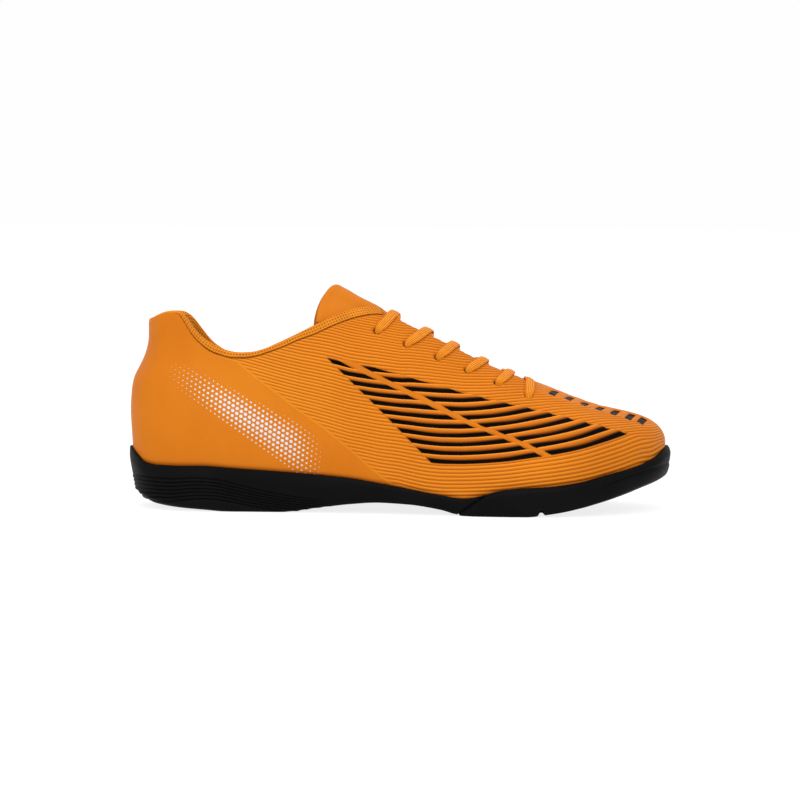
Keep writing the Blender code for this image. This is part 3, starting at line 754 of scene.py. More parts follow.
def synthetic():
    """Moulded synthetic skin: fine ribs, slots shaded black, smooth heel panel."""
    g = Nodes("orange_synthetic")
    phase, psi, pitch = g.attr("phase"), g.attr("slot_phase"), g.attr("pitch")
    rear, front = g.attr("rear"), g.attr("front")
    ribs, heel = g.attr("ribs"), g.attr("heel")
    dash, eye = g.attr("dash"), g.attr("eye")
    # slots
    down = g.math("FRACT", g.math("SUBTRACT", psi, SLOT_HALF))   # 0 at a rib's top edge, 1 at its slot's lower edge
    within = g.math("MAXIMUM", g.math("SUBTRACT", 0.60, psi), g.math("SUBTRACT", psi, SLOTS + SLOT_HALF))
    area = g.math("MINIMUM", rear, front)
    field = g.ramp(g.math("MAXIMUM", area, g.math("MULTIPLY", within, pitch)), 0.13, -0.13)
    slot = g.math("MULTIPLY", field, g.ramp(down, 0.47, 0.62))
    # fine ribs: painted shade in the grooves and a painted highlight on the crests
    turn = g.math("FRACT", phase)
    from_groove = g.math("ABSOLUTE", g.math("SUBTRACT", turn, 0.5))    # 0.5 in the groove
    groove_shade = g.math("MULTIPLY", g.ramp(from_groove, 0.24, 0.47), ribs)
    lit = g.math("MULTIPLY", g.ramp(turn, 0.30, 0.62, 1.0, 0.0), ribs)
    tone = g.noise(34.0, 2.0)
    colour = g.mix(g.ramp(tone, 0.3, 0.72), ORANGE, (0.525, 0.142, 0.0080))
    speck = g.noise(1.1, 3.0, 0.6)
    colour = g.shade(g.ramp(speck, 0.45, 0.75, 0.0, 0.25), colour, (0.86, 0.80, 0.7))
    colour = g.shade(g.math("MULTIPLY", groove_shade, 0.90), colour, (0.66, 0.50, 0.34))
    colour = g.mix(g.math("MULTIPLY", lit, 0.62), colour, ORANGE_HIGHLIGHT)
    # painted light on each thick rib: a painted highlight along its top edge, then painted shade that turns brown, then
    # black, into the slot below it
    crown_highlight = g.math("MULTIPLY", g.ramp(down, 0.0, 0.05), g.ramp(down, 0.20, 0.07))
    thick = g.mix(g.math("MULTIPLY", crown_highlight, 0.65), colour, (0.86, 0.300, 0.030))
    thick = g.shade(g.ramp(down, 0.20, 0.44, 0.0, 0.75), thick, (0.74, 0.60, 0.45))
    sunk = g.math("ADD", down, g.ramp(area, -11.0, -0.5, 0.0, 0.085))
    thick = g.mix(g.ramp(sunk, 0.42, 0.56), thick, (0.200, 0.052, 0.006))
    thick = g.mix(g.ramp(sunk, 0.50, 0.64), thick, BLACK)
    colour = g.mix(field, colour, thick)
    # heel panel: a painted highlight along its edge, and a generic field of small pale dots
    edge = g.math("MULTIPLY", g.ramp(g.math("ABSOLUTE", g.math("SUBTRACT", heel, 0.4)), 0.8, 0.0), 1.0)
    colour = g.mix(g.math("MULTIPLY", edge, 0.30), colour, ORANGE_HIGHLIGHT)
    dots = g.attr("dots")
    row, column = g.attr("dot_row"), g.attr("dot_column")
    a = g.math("SUBTRACT", g.math("FRACT", row), 0.5)
    shift = g.math("MULTIPLY", g.math("FLOOR", g.math("MODULO", row, 2.0)), 0.5)
    b = g.math("SUBTRACT", g.math("FRACT", g.math("ADD", column, shift)), 0.5)
    radius = g.math("SQRT", g.math("ADD", g.math("MULTIPLY", a, a), g.math("MULTIPLY", b, b)))
    size = g.math("SUBTRACT", radius, dots)
    dot = g.math("MULTIPLY", g.ramp(size, 0.045, -0.045), g.ramp(dots, 0.02, 0.07))
    colour = g.mix(g.math("MULTIPLY", dot, 0.93), colour, (0.60, 0.59, 0.57))
    # dashes; at the eyelets a dark painted shade fills the dip that stands for each hole, and a painted shade rings its
    # edge
    dashes = g.ramp(dash, 0.12, -0.12)
    dash_colour = g.mix(g.noise(1.6, 2.0), (0.0045, 0.0034, 0.0028), (0.018, 0.009, 0.005))
    colour = g.mix(dashes, colour, dash_colour)
    hole_shade = g.ramp(eye, 0.35, -0.35)
    colour = g.mix(hole_shade, colour, (0.050, 0.009, 0.001))
    ring = g.math("MULTIPLY", g.ramp(g.math("ABSOLUTE", g.math("SUBTRACT", eye, 0.5)), 0.7, 0.0), 0.5)
    colour = g.shade(ring, colour, (0.72, 0.5, 0.35))
    # painted light and shade: painted shade toward the toe, a painted pool of light on the heel quarter, and painted
    # shade low on the side where the upper meets the sole
    colour = g.shade(g.attr("tip"), colour, (0.86, 0.84, 0.82))
    colour = g.shade(g.attr("heel_quarter_light"), colour, (1.08, 1.18, 1.32))
    low = g.attr("low")
    colour = g.shade(g.math("MULTIPLY", g.ramp(low, 2.6, 0.0), 0.55), colour, (0.55, 0.36, 0.22))
    rough = g.ramp(g.noise(2.2, 3.0), 0.3, 0.7, 0.40, 0.54)
    rough = g.math("ADD", rough, g.math("MULTIPLY", slot, 0.14))
    # relief
    shape = g.math("MULTIPLY", g.math("SUBTRACT", 1.0, g.math("POWER", g.math("MULTIPLY", from_groove, 2.0), 2.6)), ribs)
    normal = g.bump(shape, 0.16, 1.0)
    normal = g.bump(dot, 0.05, 1.0, normal)
    grain = g.cells(0.55)
    normal = g.bump(grain, 0.018, 0.55, normal)
    normal = g.bump(g.noise(5.5, 2.0), 0.10, 0.35, normal)
    return g.finish(colour, rough, normal, Specular_IOR_Level=0.03)


def knit(name, base, dark, scale=1.15):
    """Knitted mesh: staggered loops with small dark openings."""
    g = Nodes(name)
    u, v = g.attr("along"), g.attr("across")
    a = g.math("DIVIDE", u, scale)
    b = g.math("DIVIDE", v, scale * 1.05)
    row = g.math("FLOOR", b)
    shift = g.math("MULTIPLY", g.math("FLOOR", g.math("MODULO", g.math("ABSOLUTE", row), 2.0)), 0.5)
    pa = g.math("SUBTRACT", g.math("FRACT", g.math("ADD", a, shift)), 0.5)
    pb = g.math("SUBTRACT", g.math("FRACT", b), 0.5)
    r = g.math("SQRT", g.math("ADD", g.math("MULTIPLY", pa, pa), g.math("MULTIPLY", pb, pb)))
    plain = g.attr("tab")
    opening = g.math("MULTIPLY", g.ramp(r, 0.30, 0.10), g.math("SUBTRACT", 1.0, plain))
    strand = g.math("MAXIMUM", g.ramp(r, 0.12, 0.46), plain)
    tone = g.noise(9.0, 2.0)
    colour = g.mix(g.ramp(tone, 0.3, 0.7), base, tuple(c * 0.86 for c in base))
    colour = g.mix(g.math("MULTIPLY", opening, 0.88), colour, dark)
    # painted shade along the lining where the shell's edge lies over it
    shell_edge_shade = g.attr("shell_edge_shade")
    colour = g.mix(g.ramp(shell_edge_shade, 0.9, 0.05, 0.0, 0.8), colour, tuple(c * 0.6 for c in dark))
    normal = g.bump(strand, 0.32, 1.0)
    fibre = g.noise(0.28, 2.0)
    normal = g.bump(fibre, 0.05, 0.6, normal)
    return g.finish(colour, g.ramp(fibre, 0.3, 0.7, 0.74, 0.9), normal, Specular_IOR_Level=0.12, Sheen_Weight=0.02, Sheen_Roughness=0.5)


def soft_skin(name, base, deep):
    """Smooth soft synthetic of the tongue, with a fine pebble grain."""
    g = Nodes(name)
    tone = g.noise(22.0, 2.0)
    colour = g.mix(g.ramp(tone, 0.3, 0.72), base, deep)
    # a faint painted shade along the seam line near the tongue's rim
    edge = g.attr("edge")
    colour = g.shade(g.ramp(edge, 1.4, 0.2, 0.0, 0.06), colour, (0.75, 0.6, 0.45))
    grain = g.cells(0.62)
    normal = g.bump(grain, 0.03, 0.6)
    normal = g.bump(g.noise(6.0, 2.0), 0.16, 0.45, normal)
    return g.finish(colour, g.ramp(g.noise(1.8, 2.0), 0.3, 0.7, 0.46, 0.6), normal, Specular_IOR_Level=0.08)


def woven_lace():
    """Flat woven lace: lengthwise cords crossed by a fine weave."""
    g = Nodes("orange_lace")
    u, v = g.attr("along"), g.attr("across")
    cord = g.math("ABSOLUTE", g.math("SUBTRACT", g.math("FRACT", g.math("MULTIPLY", v, 1.0)), 0.5))
    valley = g.ramp(cord, 0.26, 0.48)
    lean = g.math("ADD", g.math("MULTIPLY", u, 1.75), g.math("MULTIPLY", cord, 1.1))
    pick = g.math("ABSOLUTE", g.math("SUBTRACT", g.math("FRACT", lean), 0.5))
    gap = g.ramp(pick, 0.30, 0.5)
    tone = g.noise(3.5, 2.0)
    colour = g.mix(g.ramp(tone, 0.3, 0.72), (0.80, 0.275, 0.0140), (0.74, 0.235, 0.0110))
    # painted shade in the valleys between the cords and in the gaps of the weave
    colour = g.shade(g.math("MULTIPLY", valley, 0.95), colour, (0.52, 0.36, 0.22))
    colour = g.shade(g.math("MULTIPLY", gap, 0.16), colour, (0.7, 0.55, 0.4))
    height = g.math("SUBTRACT", g.math("MULTIPLY", g.math("SUBTRACT", 1.0, gap), 0.22), valley)
    normal = g.bump(height, 0.17, 1.0)
    normal = g.bump(g.noise(0.25, 2.0), 0.04, 0.5, normal)
    return g.finish(colour, g.ramp(g.noise(0.5, 2.0), 0.3, 0.7, 0.62, 0.8), normal, Specular_IOR_Level=0.12, Sheen_Weight=0.02, Sheen_Roughness=0.45)


def rubber():
    """Moulded black rubber: satin side wall, dull tread."""
    g = Nodes("black_rubber")
    tone = g.noise(26.0, 3.0)
    colour = g.mix(g.ramp(tone, 0.3, 0.72), (0.0032, 0.0032, 0.0033), (0.0047, 0.0046, 0.0046))
    # painted shade in the cuts and grooves of the rubber, and toward the toe end
    groove_shade = g.attr("groove_shade")
    colour = g.mix(g.ramp(groove_shade, 0.15, 0.9), colour, (0.0010, 0.0010, 0.0010))
    tread = g.attr("tread")
    dust = g.math("MULTIPLY", g.ramp(g.noise(7.0, 4.0, 0.65), 0.45, 0.75), tread)
    colour = g.mix(g.math("MULTIPLY", dust, 0.35), colour, (0.012, 0.0115, 0.011))
    rough = g.ramp(g.noise(1.3, 3.0), 0.3, 0.7, 0.42, 0.56)
    rough = g.math("ADD", rough, g.math("MULTIPLY", tread, 0.18))
    normal = g.bump(g.noise(0.45, 2.0), 0.03, 0.6)
    normal = g.bump(g.noise(7.0, 2.0), 0.08, 0.3, normal)
    wave = g.node("ShaderNodeTexWave", wave_type="BANDS", bands_direction="X", wave_profile="SAW")
    g.tree.links.new(g.place_mm(9.0), wave.inputs["Vector"])
    wave.inputs["Scale"].default_value = 1.0
    wave.inputs["Distortion"].default_value = 2.0
    wave.inputs["Detail"].default_value = 0.0
    relief = g.math("MULTIPLY", wave.outputs["Fac"], tread)
    normal = g.bump(relief, 0.25, 0.7, normal)
    return g.finish(colour, rough, normal, Specular_IOR_Level=0.03)


def woven_footbed():
    g = Nodes("footbed")
    u, v = g.attr("along"), g.attr("across")
    a = g.math("ABSOLUTE", g.math("SUBTRACT", g.math("FRACT", g.math("MULTIPLY", g.math("ADD", u, v), 0.62)), 0.5))
    b = g.math("ABSOLUTE", g.math("SUBTRACT", g.math("FRACT", g.math("MULTIPLY", g.math("SUBTRACT", u, v), 0.62)), 0.5))
    weave = g.math("MAXIMUM", a, b)
    colour = g.mix(g.ramp(g.noise(12.0, 3.0), 0.3, 0.7), (0.022, 0.022, 0.023), (0.034, 0.033, 0.033))
    colour = g.shade(g.ramp(weave, 0.34, 0.5, 0.0, 0.6), colour, (0.45, 0.45, 0.45))
    normal = g.bump(g.math("SUBTRACT", 0.5, weave), 0.3, 0.8)
    normal = g.bump(g.noise(0.4, 2.0), 0.06, 0.5, normal)
    return g.finish(colour, g.ramp(g.noise(0.7, 2.0), 0.3, 0.7, 0.82, 0.95), normal, Specular_IOR_Level=0.12, Sheen_Weight=0.05, Sheen_Roughness=0.5)


SKIN = synthetic()
MESH = knit("orange_mesh_lining", (0.700, 0.218, 0.0095), (0.17, 0.036, 0.002), 1.6)
TONGUE_SKIN = soft_skin("orange_tongue_skin", (0.560, 0.160, 0.0062), (0.520, 0.142, 0.0055))
LACE = woven_lace()
RUBBER = rubber()
FOOTBED = woven_footbed()


# ------------------------------------------------------------------- the upper
shell_end, shell_kind = LAST.cut(roll_edge)
collar_end, collar_kind = LAST.cut(lambda x, side: collar_lines[side](x))

EYE_POINTS = np.array(
    [on_last(x, side * s)[0] for side in (-1, 1) for x, s in EYELETS]
)
DASH_PLACES = []
for x, off in DASHES:
    DASH_PLACES.append((x, off))


def pattern(p, arc_from_top):
    """Everything about the pattern at points on the upper, as named numbers."""
    x, y = p[:, 0], p[:, 1]
    v = view_height(p)
    pitch = slot_pitch(x)
    psi = SLOTS - (v - slot_low(x)) / pitch
    away = np.abs(y - crest_y(x))
    rear = np.maximum((line_x(SLOT_LEFT, v) - x) * 0.70, (v - line_height(BAR_LOW, x)) * 0.90)
    front = np.maximum((line_height(BAR_HIGH, x) - v) * 0.90, (v - line_height(FRONT, x)) * 0.97)
    heel = (line_x(HEEL_EDGE, v) - x) * 0.62
    dash = np.full(len(x), 50.0)
    for dx, off in DASH_PLACES:
        for_x, for_a = x - dx, away - off
        along = for_x * 0.24 - for_a * 0.971
        over = for_x * 0.971 + for_a * 0.24
        dash = np.minimum(
            dash, np.maximum(np.abs(along) - DASH_HALF_LENGTH, np.abs(over) - DASH_HALF_WIDTH)
        )
    eye = np.full(len(x), 50.0)
    for e in EYE_POINTS:
        eye = np.minimum(eye, np.linalg.norm(p - e, axis=1) - EYELET_HOLE)
    smooth_top = step(x, 213.0, 219.0) * step(away, 20.5 - 0.02 * (x - 219), 17.0)
    smooth_top = smooth_top * np.maximum(step(x, 268.0, 262.0), step(v, 44.0, 46.0))
    bar = np.maximum(line_height(BAR_LOW, x) - v, v - line_height(BAR_HIGH, x))
    bar_on = step(bar, 0.35, -0.35) * step(rear_box(x, v), 0.5, -0.5) * step(psi, 11.5, 11.2)
    area = np.minimum(rear, front)
    within = np.maximum(0.60 - psi, psi - (SLOTS + SLOT_HALF))
    slotted = step(np.maximum(area, within * pitch), 0.6, -0.3)
    ribs = (1 - step(heel, -0.9, 0.3)) * (1 - smooth_top) * (1 - bar_on) * (1 - slotted)
    ribs = ribs * step(eye, 0.2, 1.2)
    return dict(
        x=x, v=v, pitch=pitch, psi=psi, rear=rear, front=front, area=area, within=within,
        heel=heel, dash=dash, eye=eye, ribs=ribs, slotted=slotted, bar_on=bar_on, away=away,
        smooth_top=smooth_top,
    )


def rear_box(x, v):
    """Negative where the flat bar runs between the two fields of slots."""
    return np.maximum(np.maximum(112.0 - x, x - 228.0), v - line_height(FRONT, x))


def relief(q, phase):
    """Height of the surface over the plain last, in mm."""
    turn = phase - np.floor(phase)
    fine = 0.34 * (1 - np.abs(2 * turn - 1) ** 2.6) * q["ribs"]
    down = q["psi"] - SLOT_HALF
    down = down - np.floor(down)
    inside = np.maximum(q["area"], q["within"] * q["pitch"])
    field = step(inside, 0.35, -0.35)
    # a rib stands proud along its top edge, rounds over and sinks into the slot below it
    round_over = 0.66 * np.sqrt(np.clip(1 - ((down - 0.10) / 0.46) ** 2, 0, 1))
    ribbed = np.where(down < 0.56, round_over * step(down, -0.01, 0.035), 0) - 1.05 * step(down, 0.46, 0.70)
    body = (fine + 0.34 * q["bar_on"]) * (1 - field) + ribbed * field
    heel = 0.42 * step(q["heel"], -0.5, 0.5) + 0.16 * np.exp(-((q["heel"] - 0.6) / 0.7) ** 2)
    body = body + heel
    body = np.where(q["dash"] < 0.5, body * step(q["dash"], 0.0, 0.5) - 0.75 * step(q["dash"], 0.25, -0.25), body)
    body = body + 0.28 * q["smooth_top"] * step(q["dash"], 0.1, 0.6)
    body = body - 1.25 * step(q["eye"], 0.4, -0.5) + 0.12 * np.exp(-((q["eye"] - 0.8) / 0.5) ** 2)
    return body


SOFT_FOLDS = [  # x, v, length, width, angle, height: troughs (-) and ridges (+)
    (262.0, 46.5, 16.0, 5.0, -18.0, -0.35),
    (238.0, 55.0, 20.0, 6.0, -24.0, -0.30),
    (224.0, 44.0, 26.0, 9.0, -32.0, 0.35),
    (213.0, 54.0, 15.0, 4.5, -40.0, -0.35),
    (180.0, 66.0, 22.0, 8.0, -30.0, -0.30),
    (150.0, 82.0, 22.0, 8.0, -28.0, -0.30),
    (120.0, 60.0, 40.0, 14.0, 20.0, -0.55),
    (88.0, 74.0, 26.0, 9.0, 28.0, 0.45),
    (60.0, 56.0, 26.0, 14.0, -60.0, -0.55),
    (30.0, 76.0, 18.0, 8.0, -20.0, -0.45),
    (24.0, 46.0, 20.0, 14.0, 80.0, 0.40),
    (98.0, 30.0, 26.0, 9.0, -40.0, 0.35),
]


def soft_folds(x, v):
    total = np.zeros(len(x))
    for fx, fv, length, width, angle, height in SOFT_FOLDS:
        c, s = math.cos(math.radians(angle)), math.sin(math.radians(angle))
        a, b = (x - fx) * c + (v - fv) * s, -(x - fx) * s + (v - fv) * c
        total += height * np.exp(-((a / length) ** 2) - (b / width) ** 2)
    return total


def build_upper():
    # rib phase along every column, following the flow of the slots low down
    # and the surface itself near the crest
    pts = LAST.points
    v = view_height(pts)
    psi = SLOTS - (v - slot_low(pts[..., 0])) / slot_pitch(pts[..., 0])
    phase = np.zeros(psi.shape)
    phase[:, 0] = RIBS_PER_SLOT * psi[:, 0]
    pitch = slot_pitch(pts[..., 0])
    limit = line_height(FRONT, pts[..., 0]) + np.clip(95.0 - pts[..., 0], 0, 100)
    limit = limit + 7.0 * step(pts[..., 0], 146.0, 122.0)
    turn_at = 71.2 - 0.45 * (pts[..., 0] - 134.2)
    for k in range(1, psi.shape[1]):
        chart = RIBS_PER_SLOT * (psi[:, k - 1] - psi[:, k])
        ds = LAST.arc[:, k] - LAST.arc[:, k - 1]
        high = v[:, k] > limit[:, k]
        stretched = chart * (1 + 0.0146 * np.clip(v[:, k] - turn_at[:, k], 0, None))
        even = 0.80 * ds * RIBS_PER_SLOT / pitch[:, k]
        toe_part = step(pts[:, k, 0], 200.0, 224.0)
        toe = chart * (1 + 0.55 * np.clip((v[:, k] - limit[:, k]) / 6.0, 0, 1))
        even = even * (1 - toe_part) + toe * toe_part
        move = np.where(high, np.maximum(stretched, even), chart)
        phase[:, k] = phase[:, k - 1] - np.maximum(move, 1e-4)
    top_phase = math.ceil(phase[:, 0].max() * 4) / 4
    low_phase = min(np.interp(shell_end[c], LAST.arc[c], phase[c]) for c in range(RING))
    levels = np.arange(top_phase, low_phase - 0.25, -0.25)
    quarters = np.ones(len(levels), bool)
    crisp = np.array([RIBS_PER_SLOT * (k + SLOT_HALF) + d for k in range(SLOTS + 1) for d in (-0.03, 0.07)])
    crisp = crisp[(crisp < levels[0]) & (crisp > levels[-1])]
    apart = np.min(np.abs(levels[:, None] - crisp[None, :]), axis=1) > 0.05
    levels, quarters = levels[apart], quarters[apart]
    levels = np.concatenate([levels, crisp])
    quarters = np.concatenate([quarters, np.zeros(len(crisp), bool)])
    by_level = np.argsort(-levels)
    levels, quarters = levels[by_level], quarters[by_level]
    # behind the heel panel's edge there are no ribs, so there every third row is enough
    verts, normals, columns, phases, arcs = [], [], [], [], []
    index = np.zeros((RING, len(levels) + 2), int)
    closed = (shell_kind == 0)
    count = 0
    for c in range(RING):
        shared_top = closed[c] and LAST.mate[c] < c
        end = shell_end[c]
        f0 = phase[c, 0]
        f1 = np.interp(end, LAST.arc[c], phase[c])
        which = np.nonzero((levels < f0) & (levels > f1))[0]
        at = np.interp(-levels[which], -phase[c], LAST.arc[c])
        p_all, _ = LAST.at(c, at)
        quarter = np.round(levels[which] * 4).astype(int)
        keep = (at > 0.22) & (at < end - 0.16)
        # the extra rows are only for the slots, and the smooth heel needs fewer
        keep &= quarters[which] | ((p_all[:, 0] > 102.0) & (p_all[:, 0] < 270.0))
        if LAST.points[c, 30, 0] < 46.0:
            keep &= quarter % 3 == 0
        # hidden inside the cup of the sole
        hidden = p_all[:, 2] < float(rim_z(LAST.points[c, 0, 0])) - 1.5
        keep &= ~hidden | ((quarter % 8 == 0) & quarters[which])
        which, at = which[keep], at[keep]
        wanted = levels[which]
        all_at = np.concatenate([[0.0], at, [end]])
        all_phase = np.concatenate([[f0], wanted, [f1]])
        p, n = LAST.at(c, all_at)
        start = count
        if shared_top:
            p, n, all_phase, all_at = p[:-1], n[:-1], all_phase[:-1], all_at[:-1]
            top = index[LAST.mate[c], -1]
        else:
            top = start + len(p) - 1
        verts.append(p)
        normals.append(n)
        phases.append(all_phase)
        arcs.append(all_at)
        columns.append(np.full(len(p), c))
        count += len(p)
        table = np.full(len(levels) + 2, -1)
        table[0] = start
        table[-1] = top
        rows = which + 1
        table[rows] = start + 1 + np.arange(len(wanted))
        # rows not in this column take the vertex below them, or the top
        last = start
        highest = rows.max() if len(rows) else 0
        for j in range(1, len(table) - 1):
            if table[j] >= 0:
                last = table[j]
            elif j > highest:
                table[j] = top
            else:
                table[j] = last
        index[c] = table
    base = np.concatenate(verts)
    normal = np.concatenate(normals)
    column = np.concatenate(columns)
    phase_v = np.concatenate(phases)
    q = pattern(base, None)
    height = relief(q, phase_v) + soft_folds(q["x"], q["v"]) * step(q["v"] - 8, 0, 12)
    height = np.maximum(height, -1.18)
    # the shell's free edges turn in a little, and nothing swells inside the sole's cup
    end_of = shell_end[column]
    edge_gap = end_of - np.concatenate(arcs)
    open_column = ~closed[column]
    height = height - np.where(open_column, 0.45 * step(edge_gap, 0.9, 0.0), 0)
    rim = rim_z(LAST.points[column, 0, 0])
    height = height * step(base[:, 2], rim - 1.2, rim + 1.0)
    outer = base + normal * height[:, None]
    # inner face
    rows_in = 12
    inner, inner_index = [], np.zeros((RING, rows_in), int)
    start = len(outer)
    count = start
    inner_column = []
    for c in range(RING):
        at = np.linspace(0, shell_end[c], rows_in)
        p, n = LAST.at(c, at)
        p = p - n * SHELL
        p[:, 2] = np.maximum(p[:, 2], LAST.points[c, 0, 2])
        shared_top = closed[c] and LAST.mate[c] < c
        ids = np.arange(count, count + rows_in)
        if shared_top:
            p = p[:-1]
            ids[-1] = inner_index[LAST.mate[c], -1]
        inner.append(p)
        inner_column.append(np.full(len(p), c))
        inner_index[c] = ids
        count += len(p)
    inner = np.concatenate(inner)
    points = np.concatenate([outer, inner])
    faces, slots = [], []
    for c in range(RING):
        d = (c + 1) % RING
        a, b = index[c], index[d]
        for j in range(len(a) - 1):
            face = tidy((int(a[j]), int(b[j]), int(b[j + 1]), int(a[j + 1])))
            if face:
                faces.append(face)
                slots.append(0)
        a, b = inner_index[c], inner_index[d]
        for j in range(rows_in - 1):
            face = tidy((int(a[j]), int(a[j + 1]), int(b[j + 1]), int(b[j])))
            if face:
                faces.append(face)
                slots.append(1)
        face = tidy((int(index[c, 0]), int(inner_index[c, 0]), int(inner_index[d, 0]), int(index[d, 0])))
        if face:
            faces.append(face)
            slots.append(0)
        if not (closed[c] and closed[d]):
            face = tidy((int(index[c, -1]), int(index[d, -1]), int(inner_index[d, -1]), int(inner_index[c, -1])))
            if face:
                faces.append(face)
                slots.append(0)
    pad = len(inner)

    def both(values, fill=0.0):
        return np.concatenate([values, np.full(pad, fill)])

    # generic dots on the heel panel, larger low in front and fading to the back and top
    t = np.clip((q["x"] - 14.0) / 84.0, 0, 1)
    centre_line = 79.0 - 0.60 * (q["x"] - 14.0)
    across = (q["v"] - centre_line + 3.0) / (7.0 + 8.0 * t)
    dots = 0.36 * np.clip(1 - across**2, 0, 1) ** 0.7 * step(q["x"], 12.0, 60.0) * step(q["x"], 108.0, 84.0)
    dots = dots * step(q["heel"], 3.0, 7.0)
    c, s = math.cos(math.radians(-35.0)), math.sin(math.radians(-35.0))
    dot_a = (q["x"] * c + q["v"] * s) / 2.6
    dot_b = (-q["x"] * s + q["v"] * c) / 2.25
    inside_fields = {
        "phase": both(phase_v), "slot_phase": both(q["psi"], -5.0), "pitch": both(q["pitch"], 4.0),
        "rear": both(np.clip(q["rear"], -30, 30), 30.0), "front": both(np.clip(q["front"], -30, 30), 30.0),
        "ribs": both(q["ribs"]), "heel": both(np.clip(q["heel"], -20, 20), -20.0),
        "dash": both(np.clip(q["dash"], -5, 20), 20.0), "eye": both(np.clip(q["eye"], -5, 20), 20.0),
        "dots": both(dots), "dot_row": both(dot_b + 200.0), "dot_column": both(dot_a + 200.0),
        # the next values carry painted shade toward the toe and near the sole, and a painted pool of light on the heel
        # quarter
        "low": both(base[:, 2] - rim, 20.0), "tip": both(step(q["x"], 215.0, 250.0) * step(q["v"], 50.0, 34.0)),
        "heel_quarter_light": both(np.exp(-(((q["x"] - 62.0) / 44.0) ** 2) - ((q["v"] - 58.0) / 24.0) ** 2), 0.0),
        "along": both(q["x"], 0.0), "across": both(q["v"], 0.0), "shell_edge_shade": both(np.full(len(base), 5.0), 5.0),
    }
    inner_c = np.concatenate(inner_column)
    inside_fields["along"][-pad:] = inner_c * 1.28
    inside_fields["across"][-pad:] = inner[:, 2]
    return make_object("upper_shell", points, faces, [SKIN, MESH], inside_fields, slots)


UPPER = build_upper()


# ------------------------------------------------------------ the collar lining
def inner_wall(c, arc):
    """Thickness of wall and padding at a place on a column."""
    p, _ = LAST.at(c, arc)
    drop = max(0.0, float(collar_lines[LAST.side[c]](min(p[0], 122.0))) - p[2])
    pad = math.exp(-((drop / 15.0) ** 2)) * min(1.0, max(0.0, (100.0 - p[0]) / 45.0))
    return UPPER_WALL + (COLLAR_WALL - UPPER_WALL) * pad


def build_lining():
    """Rolled mesh lining: over the collar's edge and down the inside to the footbed."""
    chosen = [c for c in range(RING) if collar_kind[c] == 1]
    # walk from the lateral front of the collar round the heel to the medial front
    lateral = [c for c in chosen if LAST.side[c] < 0][::-1]
    medial = [c for c in chosen if LAST.side[c] > 0][::-1]
    order = lateral + medial
    rows, profile, shell_edge_shade, tabs = [], [], [], []
    band_rows, roll_rows, down_rows = 7, 7, 26
    for c in order:
        low, high = shell_end[c], collar_end[c] - 1.1
        low = min(low, high - 0.25)
        tab = float(step(LAST.at(c, high)[0][0], 27.5, 24.5))
        pts, run, edge, plain = [], [], [], []

        # the distance from the shell's edge sets the painted shade along that edge
        def add(p, gap):
            pts.append(p)
            edge.append(gap + 5.0 * tab)
            plain.append(tab if gap < 4.9 or len(pts) < 13 else 0.0)

        p, n = LAST.at(c, low - 0.05)
        add(p - n * 0.62, 0.0)
        for t in np.linspace(0, 1, band_rows):
            arc = low + 0.06 + (high - low - 0.06) * t
            p, n = LAST.at(c, arc)
            proud = 0.32 * math.sqrt(max(0.0, 1 - (1 - min(1.0, (t * (high - low) + 0.15) / 1.1)) ** 2))
            add(p + n * proud, (high - low) * t)
        top, n_top = LAST.at(c, high)
        below, _ = LAST.at(c, high - 1.0)
        tangent = unit(top - below)
        wall = inner_wall(c, high)
        radius = (wall + 0.32) / 2
        for t in np.linspace(0, 1, roll_rows + 2)[1:-1]:
            angle = math.pi * t
            add(
                top + n_top * (0.32 - radius + radius * math.cos(angle)) + tangent * min(radius, 1.35) * math.sin(angle),
                5.0,
            )
        bottom_arc = 3.0
        for t in np.linspace(0, 1, down_rows):
            arc = high + (bottom_arc - high) * t
            p, n = LAST.at(c, arc)
            add(p - n * inner_wall(c, arc), 5.0)
        for t in np.linspace(0, 1, 8):
            arc = bottom_arc + (low - 0.9 - bottom_arc) * t
            p, n = LAST.at(c, arc)
            add(p - n * (SHELL + 0.12), 5.0)
        pts = np.array(pts)
        run = np.concatenate([[0], np.cumsum(np.linalg.norm(np.diff(pts, axis=0), axis=1))])
        rows.append(pts)
        profile.append(run)
        shell_edge_shade.append(edge)
        tabs.append(plain)
    rows = np.array(rows)
    # distance round the collar along the band, for the knit's pattern
    around = np.concatenate([[0], np.cumsum(np.linalg.norm(np.diff(rows[:, 4], axis=0), axis=1))])
    n_cols, n_rows = rows.shape[:2]
    faces = []
    for i in range(n_cols - 1):
        for j in range(n_rows):
            k = (j + 1) % n_rows
            faces.append((i * n_rows + j, i * n_rows + k, (i + 1) * n_rows + k, (i + 1) * n_rows + j))
    faces.append(tuple(range(n_rows)))
    faces.append(tuple(range((n_cols - 1) * n_rows, n_cols * n_rows))[::-1])
    attributes = {
        "along": np.repeat(around, n_rows),
        "across": np.array(profile).ravel(),
        "shell_edge_shade": np.array(shell_edge_shade).ravel(),
        "tab": np.array(tabs).ravel(),
    }
    return make_object("collar_lining", rows.reshape(-1, 3), faces, [MESH], attributes)


LINING = build_lining()


